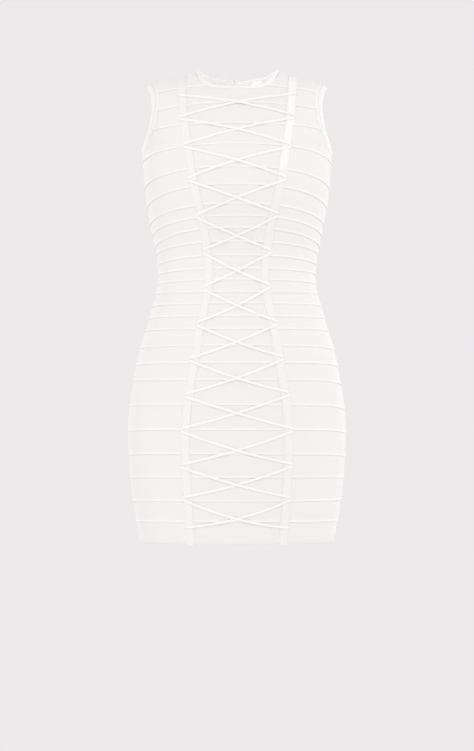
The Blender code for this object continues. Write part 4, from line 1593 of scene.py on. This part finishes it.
@dataclass
class Bindings:
    """Folded ribbed bindings round the neck and the armholes, stitched down near their seams."""

    finish: Material
    neck_steps: int = 46
    neck_width: float = 5.2
    neck_groove: float = 0.10
    armhole_steps: int = 160
    armhole_groove: float = 0.50
    groove_shade: float = 1.3
    groove_reach: float = 0.10  # breadth of that shade as a share of the width
    inner_shade: float = 0.35
    neck_stitch_at: float = 0.16  # share of the neck binding's width where it is stitched
    neck_stitch: float = 1.34  # the stitches' distance off the form, on the neck binding,
    armhole_stitch: float = 1.0  # on the armholes'
    inner_stitch: float = 2.74  # and inside
    seams: list[Seam] = field(default_factory=list)

    def _values(self, lifts: Array, painted_highlight: Array | float, groove: Array) -> dict[str, Array]:
        """Painted highlight and shade of a binding; its inner leaf lies in the dress's shade."""
        sunk = np.where(lifts < -0.6, self.inner_shade, 0.0)
        return {"painted_highlight": painted_highlight, "shaded": sunk + self.groove_shade * groove}

    def _folded(self, loops: list[Array], lifts: Array) -> Array:
        """Rings of a binding from lines on the form, each lifted off it."""
        lifted = [loop + FORM.outward(loop) * lift for loop, lift in zip(loops, lifts)]
        return np.stack(lifted, axis=1)

    def _section_uv(self, rings: Array) -> Array:
        """Cloth coordinates: round the section, then along the binding."""
        return joined(arc_length(rings, axis=1), arc_length(rings.mean(axis=1))[:, None])

    def _neck_loop(self, share: float) -> Array:
        """The line round the neck at one place across its binding, open at the back.

        Args:
            share: Share of the way from the binding's seam to its free edge.

        Returns:
            Points on the form.
        """
        steps = np.linspace(0, math.pi / 2, self.neck_steps)
        x = NECKLINE.reach(share) * np.sin(steps)
        rear_x = np.maximum(x, ZIP.width / 2 + SEAM)
        rear_height = NECKLINE.height(rear_x, Side.BACK, share)
        rear = FORM.at_front_view(rear_x, rear_height, Side.BACK)
        fore = FORM.at_front_view(x, NECKLINE.height(x, Side.FRONT, share), Side.FRONT)[:-1]
        half = np.concatenate((rear, fore[::-1]))
        loop = np.concatenate((half, Hand.LEFT.of(half[-2::-1])))
        loop[..., 1] += np.where(np.abs(loop[..., 1]) < SEAM, 1e-3, 0)
        return loop

    def neck(self) -> None:
        """The neck binding, open in the middle of the back."""
        shares, lifts = folded_section(self.neck_width, self.neck_groove)
        section = self._folded([self._neck_loop(share) for share in shares], lifts)
        moved = np.linalg.norm(np.diff(section[:, 0], axis=0), axis=-1) > 0.02
        keep = np.concatenate(([True], moved))
        section = section[keep]
        front = np.clip(-section[..., 1] / 12.0, 0, 1)
        # painted highlight on the front of the neck binding, stronger towards the right
        painted_highlight = front * (0.35 + 0.5 * np.clip((section[..., 0] - 14.0) / 12.0, 0, 1))
        piece = add_sweep("neck_binding_rib", section, self.finish, uv=self._section_uv(section),
                          values=self._values(lifts, painted_highlight, 0 * shares))
        declare(piece, "neck_binding", flat=(0.016, 0.440))
        line = self._neck_loop(self.neck_stitch_at)[keep]
        off = FORM.outward(line)
        self.seams += [(line + off * self.neck_stitch, off), (line - off * self.inner_stitch, -off)]

    def armholes(self) -> None:
        """The closed armhole bindings."""
        angle = np.linspace(-0.5, 1.5, self.armhole_steps, endpoint=False) * math.pi
        shares, lifts = folded_section(ARMHOLE.binding, self.armhole_groove)
        loops = [ARMHOLE.ring(angle, ARMHOLE.binding * (1 - share)) for share in shares]
        section = self._folded(loops, lifts)
        uv = self._section_uv(section)
        line = ARMHOLE.ring(np.append(angle, angle[:1]), ARMHOLE.binding * (1 - GROOVE))
        groove = bell(shares - GROOVE, self.groove_reach) * (lifts > 0.4)
        # painted highlight on both armhole bindings, stronger on the right
        for hand, painted_highlight in ((Hand.LEFT, 0.2), (Hand.RIGHT, 0.4)):
            name = f"armhole_binding_{hand.word}"
            points, path = hand.of(section), hand.of(line)
            piece = add_sweep(f"{name}_rib", points, self.finish, closed=True, uv=uv,
                              values=self._values(lifts, painted_highlight, groove))
            declare(piece, name, flat=(0.030, 0.355))
            off = FORM.outward(path)
            self.seams += [(path + off * self.armhole_stitch, off),
                           (path - off * self.inner_stitch, -off)]

    def build(self) -> list[Seam]:
        """Makes the neck binding and both armhole bindings.

        Returns:
            The lines of their stitches, each with the cloth's normals.
        """
        self.neck()
        self.armholes()
        log.info("bindings: neck and two armholes")
        return self.seams


# ---- Sewing ----


@dataclass
class Sewing:
    """Rows of lockstitch: short arches of thread whose ends sink into the cloth."""

    finish: Material
    pitch: float = 3.1
    length: float = 2.5
    radius: float = 0.19
    rise: float = 0.20
    sunk: float = 0.06
    waver: float = 0.04  # how unevenly the stitches follow each other
    taper: float = 0.3  # share of its radius that the thread loses at a stitch's ends
    rings: int = 5
    sides: int = 5

    def row(self, path: Array, normal: Array) -> Array:
        """The stitches along a line.

        A stitch stands off the cloth by rise * (1 - share^2), where the share runs from -1 to 1.

        Args:
            path: Points along the line.
            normal: The cloth's normals there.

        Returns:
            Points: stitches by rings by places round the thread.
        """
        run = arc_length(path)
        count = int(run[-1] / self.pitch)
        number = np.arange(count)
        middle = (number + 0.5 + self.waver * np.sin(number * 2.4)) * run[-1] / count
        share = np.linspace(-1, 1, self.rings)
        at = middle[:, None] + share * self.length / 2
        centre, off = (joined(*(np.interp(at, run, column) for column in part.T))
                       for part in (path, normal))
        off = unit(off)
        centre = centre + off * (self.rise * (1 - share**2) - self.sunk)[None, :, None]
        ahead = unit(np.gradient(centre, axis=1))
        slim = self.radius * (1 - self.taper * share**4)
        section = slim[:, None, None] * round_section(self.sides)
        return carried(centre, unit(np.cross(off, ahead)), off, section)

    def sew(self, name: str, seams: list[Seam]) -> None:
        """Makes one piece of all the stitches along some lines.

        Args:
            name: The piece's name.
            seams: The lines.
        """
        rows = [self.row(path, normal) for path, normal in seams]
        declare(add_rods(name, rows, self.finish))
        log.info("%s: %d stitches", name, sum(len(row) for row in rows))


# ---- Lacing ----


@dataclass(frozen=True)
class Strand:
    """One strand of a crossing: its solid's name, its ends in front view and how it crosses."""

    name: str
    start: Spot
    end: Spot
    crossing: float  # height at which it passes the dress's middle
    lifted: bool  # whether it passes over the other strand


@dataclass
class Lacing:
    """Thirteen crossings of flat knitted cord, caught in the seams outside the tapes."""

    finish: Material
    width: float = 4.8
    thickness: float = 1.9
    upper_end: float = 1.5  # how far above its place in the table the upper of two ends is
    lower_end: float = 2.7
    pressed: float = 0.62  # share of their thickness that two strands keep where they cross
    ramp: float = 6.0  # length over which the upper strand comes down again
    stiffness: float = 5.0  # reach over which a strand evens out what it lies on
    on_tape: float = 0.95
    sag: float = 1.0  # the crossings lie this much below their place in the table
    steps: int = 118
    sides: int = 16
    beyond: float = 0.9  # how far an end reaches past the tape's outer edge
    end_reach: float = 3.2  # length over which an end dives into the seam
    dive: float = 1.9
    pinched: float = 0.12  # share of its width that it loses there
    overlap: float = 0.42  # share of its width that counts in where two strands meet
    crowding: float = 0.04  # how much closer the route's points are at its ends
    clearance: float = 0.02
    edge_slack: float = 1.5  # a strip's lip counts from this far below its foot
    tape_slope: float = 1.2  # breadth over which a strand climbs on to a tape

    def ground(self, base: Array) -> Array:
        """How far the cloth under a route stands off the form, evened out as a taut cord does.

        Over the panel it is the section of the strip that is there. The highest value within half
        the cord's width counts, and a Gaussian kernel evens out the steps.

        Args:
            base: The route's points on the form.

        Returns:
            The distance at each point.
        """
        x, y, height = base.T
        depth = FORM.front_depth(height) * FORM.fullness(x, height)
        in_depth = np.clip(np.abs(y) / depth, 0, 1)
        side = np.where(x[:, None] < 0, BANDS["left"], BANDS["right"])
        above = height[:, None] - side - (BANDS["middle"] - side) * in_depth[:, None]**STRIP_LEAN
        above = np.where(above < -self.edge_slack, np.inf, above).min(axis=1)
        lift = np.interp(above, LIP["rise"], LIP["lift"], left=LIP["lift"].max())
        on_tape = (np.abs(x) - FORM.tape_inner(height)) / self.tape_slope + 0.5
        on_tape = np.clip(on_tape, 0, 1)
        lift = lift + (self.on_tape - lift) * on_tape
        length = arc_length(base)
        gap = np.abs(length[:, None] - length[None, :])
        highest = np.where(gap < self.width / 2, lift[None, :], -1.0).max(axis=1)
        weight = bell(gap, self.stiffness)
        return (weight @ highest) / weight.sum(axis=1)

    def route(self, strand: Strand) -> tuple[Array, ...]:
        """Centre line of a strand, bowed in front view so that its middle meets the crossing.

        Args:
            strand: Where it runs.

        Returns:
            The path, the form's normals there, and shares of the full width and thickness.
        """
        share = np.linspace(0, 1, self.steps)
        share = share - self.crowding * np.sin(2 * math.pi * share)
        (left, upper), (right, lower) = strand.start, strand.end
        x = left + (right - left) * share
        height = upper + (lower - upper) * share
        middle = upper - (lower - upper) * left / (right - left)
        height = height + (strand.crossing - self.sag - middle) * 4 * share * (1 - share)
        base = FORM.at_front_view(x, height, Side.FRONT)
        meets = self.overlap * self.width * math.dist(strand.start, strand.end) / (upper - lower)
        near = np.clip((meets + self.ramp - np.abs(x)) / self.ramp, 0, 1)
        near = near**2 * (3 - 2 * near)
        thick = 1 - (1 - self.pressed) * near
        lift = self.ground(base) + self.clearance + self.thickness * thick / 2
        if strand.lifted:
            lift = lift + self.thickness * self.pressed * near
        from_end = FORM.tape_outer(height) + self.beyond - np.abs(x)
        dive = np.clip(1 - from_end / self.end_reach, 0, 1)
        lift = lift - self.dive * dive**2
        normal = FORM.outward(base)
        return base + normal * lift[:, None], normal, 1 - self.pinched * dive, thick

    def make(self, strand: Strand) -> None:
        """Makes a strand: a flattened superellipse carried along its route.

        Args:
            strand: Where it runs.
        """
        path, normal, wide, thick = self.route(strand)
        across = unit(np.cross(normal, np.gradient(path, axis=0)))
        size = joined(wide * self.width, thick * self.thickness) / 2
        section = size[:, None] * rounded(self.sides, 0.8, 0.9)
        girth = 2 * self.width * np.arange(self.sides) / self.sides
        rings = carried(path, across, normal, section)
        piece = add_sweep(f"{strand.name}_cord", rings, self.finish,
                          uv=joined(girth, arc_length(path)[:, None]), sharp=None)
        declare(piece, strand.name)

    def end_at(self, row: int, hand: Hand, spread: float) -> Spot:
        """Place in front view of an end in a row, just inside the seam."""
        height = float(LACING[hand.word][row]) + spread
        return hand.value * (float(FORM.tape_outer(np.array(height))) + self.beyond), height

    def build(self) -> None:
        """Makes both strands of every crossing."""
        ways = (("over", Hand.LEFT, Hand.RIGHT), ("under", Hand.RIGHT, Hand.LEFT))
        for row in range(len(LACING["left"]) - 1):
            for kind, near, far in ways:
                start = self.end_at(row, near, -self.lower_end if row else 0.0)
                end = self.end_at(row + 1, far, self.upper_end)
                self.make(Strand(f"lace_{kind}_{row + 1:02d}", start, end,
                                 float(LACING["crossing"][row]), kind == "over"))
        log.info("lacing: %d strands", 2 * (len(LACING["left"]) - 1))


# ---- Back closure ----


@dataclass
class BackZip:
    """The coil zip in the middle of the back: its tape, interlocking coils and stops."""

    tape_finish: Material
    coil_finish: Material
    stop_finish: Material
    tape_half: float = 13.0
    tape_thickness: float = 0.55
    tape_sunk: float = 2.15  # outer face of the tape under the form
    pitch: float = 1.35  # between two loops of one side
    coil_from: float = 305.0
    coil_to: float = 784.5
    coil_sunk: float = 1.05  # middle of the coils under the form
    reach: float = 2.15  # how far a loop starts from the middle, on its own side
    head: float = 0.55  # and how far past the middle its head ends
    wire: float = 0.46  # radius of a loop
    sides: int = 6
    swell: float = 0.28  # how much thicker a loop is at its head
    swell_at: float = 0.86  # share of the way to the head's end where it is thickest
    swell_reach: float = 0.14
    arch: float = 0.28  # how far a loop's middle stands out
    stop_sides: int = 28

    # Each stop's place across and up, and its width and length.
    STOPS = {"bottom_stop": (0.0, 304.0, 4.6, 3.0), "top_stop_left": (-1.55, 785.4, 1.9, 2.6),
             "top_stop_right": (1.55, 785.4, 1.9, 2.6)}
    # A stop's rings: distance off the form, and how far each is drawn in.
    STOP_RINGS = ((-1.7, 0.2), (-1.5, 0.0), (-0.55, 0.0), (-0.33, 0.08), (-0.24, 0.3))

    def tape(self) -> None:
        """The woven tape inside the panels, open to view in the gap between them."""
        height = np.linspace(ZIP.bottom - 6.0, ZIP.top + 1.0, 150)[:, None]
        x = np.linspace(-self.tape_half, self.tape_half, 25)[None, :]
        base = FORM.at_front_view(x, height, Side.BACK)
        normal = FORM.outward(base)
        sunk = self.tape_sunk - 0.25 * bell(x, 2.4)
        outer = base - normal * sunk[..., None]
        inner = base - normal * (sunk + self.tape_thickness)[..., None]
        piece = add_shell("zip_tape_woven", outer, inner, joined(x, height), self.tape_finish)
        declare(piece, flat=(2 * self.tape_half * MM, 0.535))

    def coils(self) -> None:
        """Loops from both sides in turn, each a bent rod with a widened head past the middle.

        A rod runs from `reach` on its own side to `head` on the other. Its radius is that of the
        wire, swollen by a bell at the head, and it arches by a half sine wave.
        """
        count = int((self.coil_to - self.coil_from) / self.pitch)
        share = np.linspace(0, 1, 6)
        head = bell(share - self.swell_at, self.swell_reach)
        radius = self.wire * (0.9 + self.swell * head) * np.where(share > 0.99, 0.62, 1.0)
        arch = self.arch * np.sin(math.pi * share) - self.coil_sunk
        section = radius[:, None, None] * round_section(self.sides)
        groups = []
        for hand, offset in ((Hand.LEFT, 0.0), (Hand.RIGHT, 0.5)):
            height = self.coil_from + (np.arange(count) + offset) * self.pitch
            x = hand.value * (self.reach - (self.reach + self.head) * share)
            place = joined(x[None, :, None], height[:, None, None] + section[None, ..., 0])
            base = FORM.at_front_view(place[..., 0], place[..., 1], Side.BACK)
            off = section[..., 1] + arch[:, None]
            groups.append(base + FORM.outward(base) * off[None, ..., None])
        piece = add_rods("zip_coils", groups, self.coil_finish)
        declare(piece, "zip_chain")

    def stops(self) -> None:
        """The bottom stop over both coils and a top stop on each."""
        outline = rounded(self.stop_sides, 0.45, 0.45)
        for name, (x, height, width, length) in self.STOPS.items():
            across, along = outline.T
            rings = [joined(x + across * (width / 2 - by), along * (length / 2 - by), off)
                     for off, by in self.STOP_RINGS]
            points = LocalFrame(height).points(np.stack(rings))
            piece = add_sweep(name, points, self.stop_finish)
            declare(piece)

    def build(self) -> None:
        """Makes the tape, the coils and the stops."""
        self.tape()
        self.coils()
        self.stops()
        log.info("back zip: tape, coils and stops")


@dataclass(frozen=True)
class LocalFrame:
    """Axes of a place on the zip: across, up the chain and off the cloth."""

    height: float = ZIP.slider_height

    def points(self, local: Array) -> Array:
        """Moves points from the place's own axes to the dress's.

        Args:
            local: Points across, along and off.

        Returns:
            The same points in the dress's millimetres.
        """
        spot = FORM.at_front_view(np.zeros(()), np.array(self.height), Side.BACK)
        off = FORM.outward(spot)
        up = np.array((0.0, -off[2], off[1]))
        return spot + local @ np.stack((np.cross(up, off), up, off))


def inset(outline: Array, off: float, distance: float) -> Array:
    """A ring drawn in from a closed, counter-clockwise outline.

    Args:
        outline: The outline's points in their plane.
        off: The ring's distance off that plane.
        distance: How far the ring is drawn in, point by point.

    Returns:
        The ring's points.
    """
    along = np.roll(outline, -1, axis=0) - np.roll(outline, 1, axis=0)
    moved = outline + unit(joined(-along[:, 1], along[:, 0])) * distance
    return joined(*moved.T, off)


@dataclass
class Slider:
    """The enamelled slider with its bridge, and the pull that swings from it."""

    finish: Material
    at: LocalFrame = LocalFrame()
    width: float = 7.0
    length: float = 9.0
    base: Spot = (0.5, 2.0)  # the plate's two faces, off the form
    bridge_reach: float = 2.95
    bridge_top: float = 4.45
    bridge_width: float = 1.6
    bridge_bar: float = 0.9
    pivot: Spot = (-1.6, 3.0)
    pull_length: float = 21.0
    pull_width: float = 4.6
    eye: Spot = (2.6, 3.6)
    bar: float = 0.9  # breadth of the pull above its eye
    plate_sides: int = 72
    pull_sides: int = 120

    # The pull's section from its outer edge in, and from its eye out: each ring's distance off its
    # middle plane, and how far it is drawn in.
    OUTER = ((-0.45, 0.26), (-0.32, 0.06), (0.0, 0.0), (0.32, 0.06), (0.45, 0.26), (0.45, 0.55),
             (0.24, 0.72))
    EYE = ((0.24, 0.42), (0.45, 0.34), (0.45, 0.2), (0.3, 0.05), (0.0, 0.0), (-0.3, 0.05),
           (-0.45, 0.2))

    def plate(self) -> Array:
        """Rings of the slider's plate: a shield with rounded shoulders, drawn in at both faces."""
        outline = rounded(self.plate_sides, 0.62, 0.7) * (self.width / 2, self.length / 2)
        outline[:, 0] *= 0.8 + 0.2 * np.tanh((outline[:, 1] + 1.2) / 1.3)
        low, high = self.base
        levels = ((low, 0.5), (low + 0.12, 0.15), (low + 0.4, 0.0), (high - 0.5, 0.0),
                  (high - 0.16, 0.12), (high, 0.45), (high, 0.95), (high - 0.14, 1.1))
        return np.stack([inset(outline, off, by) for off, by in levels])

    def bridge(self) -> Array:
        """Rings of the bridge: a rounded bar that rises from the plate, runs along it and falls."""
        turn = np.linspace(0, math.pi, 33)
        foot = self.base[1] - 0.4
        path = joined(0.0, -signed_power(np.cos(turn), 0.45) * self.bridge_reach,
                      foot + (self.bridge_top - foot) * np.sin(turn)**0.5)
        ahead = unit(np.gradient(path, axis=0))
        section = rounded(16, 0.6, 0.6) * (self.bridge_width / 2, self.bridge_bar / 2)
        side = np.broadcast_to((1.0, 0.0, 0.0), path.shape)
        return carried(path, side, joined(0.0, -ahead[:, 2], ahead[:, 1]), section)

    def pull(self) -> Array:
        """Rings of the pull: the section from its outer edge over its raised rim to its eye."""
        top = self.pivot[0] + self.bar / 2
        outer = rounded(self.pull_sides, 0.35, 0.5) * (self.pull_width / 2, self.pull_length / 2)
        outer[:, 1] += top - self.pull_length / 2
        share = (top - outer[:, 1]) / self.pull_length
        waist, foot = np.clip((share - 0.2) / 0.16, 0, 1), np.clip((share - 0.5) / 0.4, 0, 1)
        outer[:, 0] *= 1 - 0.27 * waist + 0.12 * foot
        hole = rounded(self.pull_sides, 0.6, 0.6) * (self.eye[0] / 2, self.eye[1] / 2)
        hole[:, 1] += top - self.bar - self.eye[1] / 2
        rings = [inset(outer, self.pivot[1] + off, by) for off, by in self.OUTER]
        rings += [inset(hole, self.pivot[1] + off, -by) for off, by in self.EYE]
        return np.stack(rings, axis=1)

    def build(self) -> None:
        """Makes the slider's two pieces and the pull."""
        for name, rings, node, closed, body in (
                ("slider_plate", self.plate(), "zip_slider", False, "dress"),
                ("slider_bridge", self.bridge(), "zip_slider", False, "dress"),
                ("slider_pull", self.pull(), "zip_pull", True, "pull")):
            piece = add_sweep(name, self.at.points(rings), self.finish, closed=closed)
            declare(piece, node, body)
        log.info("slider: plate, bridge and pull")


@dataclass
class NeckFastening:
    """Wire hook and eye inside the back of the neck, sewn on with a few turns of thread."""

    finish: Material
    thread: Material
    wire: float = 0.45
    steps: int = 120
    even: int = 13  # points over which a wire's corners are rounded
    turns: int = 5
    turn_steps: int = 3  # points of the wire between two turns of thread
    first_turn: int = 4
    thread_radius: float = 0.17

    # Corners of each wire from its leg to the middle of its bend, where it turns back: across, up,
    # and inwards from the binding's seam.
    HALVES = {
        "hook": ((-14.0, 2.0, 0.9), (-7.0, 1.5, 0.9), (-2.6, 0.9, 2.3), (0.3, 0.6, 2.3)),
        "eye": ((12.0, 2.2, 0.9), (5.0, 2.2, 0.9), (-0.4, 1.8, 0.9), (-1.5, 0.9, 0.9)),
    }

    def route(self, half: tuple[Point, ...]) -> Seam:
        """A smooth line along a wire.

        Args:
            half: The first half of its corners.

        Returns:
            The line's points, and the form's normals there.
        """
        knots = np.concatenate((half, np.flip(half, axis=0) * (1.0, -1.0, 1.0)))
        length = arc_length(knots)
        share = np.linspace(0, length[-1], self.steps)
        kernel = np.hanning(self.even) / np.hanning(self.even).sum()
        x, up, inward = (np.convolve(
            np.pad(np.interp(share, length, column), self.even // 2, mode="edge"), kernel, "valid")
            for column in knots.T)
        base = FORM.at_front_view(x, NECKLINE.height(x, Side.BACK, 0.5) + up, Side.BACK)
        normal = FORM.outward(base)
        return base - normal * (WALL + inward)[:, None], normal

    def build(self) -> None:
        """Makes the hook and the eye, and the turns of thread over both legs of each."""
        number = np.arange(self.turns) * self.turn_steps + self.first_turn
        at = np.concatenate((number, self.steps - 1 - number))
        angle = np.linspace(-0.25 * math.pi, 1.25 * math.pi, 9)[:, None]
        wraps = []
        for name, half in self.HALVES.items():
            path, normal = self.route(half)
            ahead = unit(np.gradient(path, axis=0))
            aside = unit(np.cross(ahead, normal))
            rings = carried(path, aside, np.cross(ahead, aside), round_section(12) * self.wire)
            piece = add_sweep(f"{name}_wire", rings, self.finish)
            declare(piece, name)
            ahead, outward = ahead[at, None], (
                aside[at, None] * np.cos(angle) - normal[at, None] * np.sin(angle))
            centre = path[at, None] + outward * (self.wire + 0.12) + 0.25 * np.cos(angle) * ahead
            wraps.append(carried(centre, outward, np.broadcast_to(ahead, outward.shape),
                                 round_section(6) * self.thread_radius))
        declare(add_rods("fastening_thread", wraps, self.thread))
        log.info("neck fastening: hook, eye and their thread")


@dataclass
class Label:
    """A blank satin label inside the right of the back neck, sewn along its top."""

    finish: Material
    inner_edge: float = 19.8
    width: float = 26.0
    rise: float = 0.8  # its top edge above the binding's seam
    turned: float = 3.2  # breadth of its turned side edge, which slopes to the cloth
    drop: float = 36.0
    thickness: float = 0.5
    clearance: float = 0.75  # between it and the panel's inside
    curl: float = 0.9
    fullness: float = 0.6  # how much farther off its top corner by the turned edge lies

    def build(self) -> list[Seam]:
        """Makes the label: it lies on the panel at its top and curls off it at its edges.

        Returns:
            The line of its stitches, with the cloth's normals.
        """
        share = np.union1d(np.linspace(0, 1, 31), np.array((0.02, 0.05, 0.085)))[None, :]
        x = self.inner_edge + self.width * share
        down = np.linspace(1, 0, 41)[:, None]
        height = NECKLINE.height(x, Side.BACK) + self.rise - self.drop * down
        base = FORM.at_front_view(x + 0 * height, height, Side.BACK)
        normal = FORM.outward(base)
        curl = self.curl * down**2 * (0.7 + 0.3 * np.cos(2 * math.pi * share))
        beside = np.clip(share * self.width / self.turned, 0, 1)
        off = (WALL + self.clearance + curl) * (0.35 + 0.65 * beside)
        off = off + self.fullness * beside * (1 - down) * (share < 0.3)
        outer = base - normal * off[..., None]
        inner = base - normal * (off + self.thickness)[..., None]
        piece = add_shell("neck_label_satin", outer, inner, joined(x, height), self.finish,
                          {"shaded": 1 - beside**2})
        declare(piece, "neck_label", flat=(0.028, 0.045))
        log.info("neck label: blank satin")
        return [(inner[-2, 2:-1], -normal[-2, 2:-1])]


def main() -> None:
    """Builds the dress piece by piece, and logs each."""
    logging.basicConfig(level=logging.INFO, format="%(message)s")
    Studio().build()
    knit = KnitFinish().material()
    rib = RibFinish().material()
    lace = LaceFinish().material()
    panels = Knit(knit)
    panels.build()
    seams = Tapes(rib).build() + Bindings(rib).build()
    Lacing(lace).build()
    enamel = EnamelFinish().material()
    BackZip(SatinFinish("zip_tape").material(), CoilFinish().material(), enamel).build()
    Slider(enamel).build()
    thread = ThreadFinish().material()
    NeckFastening(WireFinish().material(), thread).build()
    # the label has a painted glow
    label_seam = Label(SatinFinish(painted_glow=0.06).material()).build()
    sewing = Sewing(thread)
    sewing.sew("tape_and_binding_stitches", seams)
    sewing.sew("zip_stitches", panels.zip_edges)
    sewing.sew("label_stitches", label_seam)


if __name__ == "__main__":
    main()
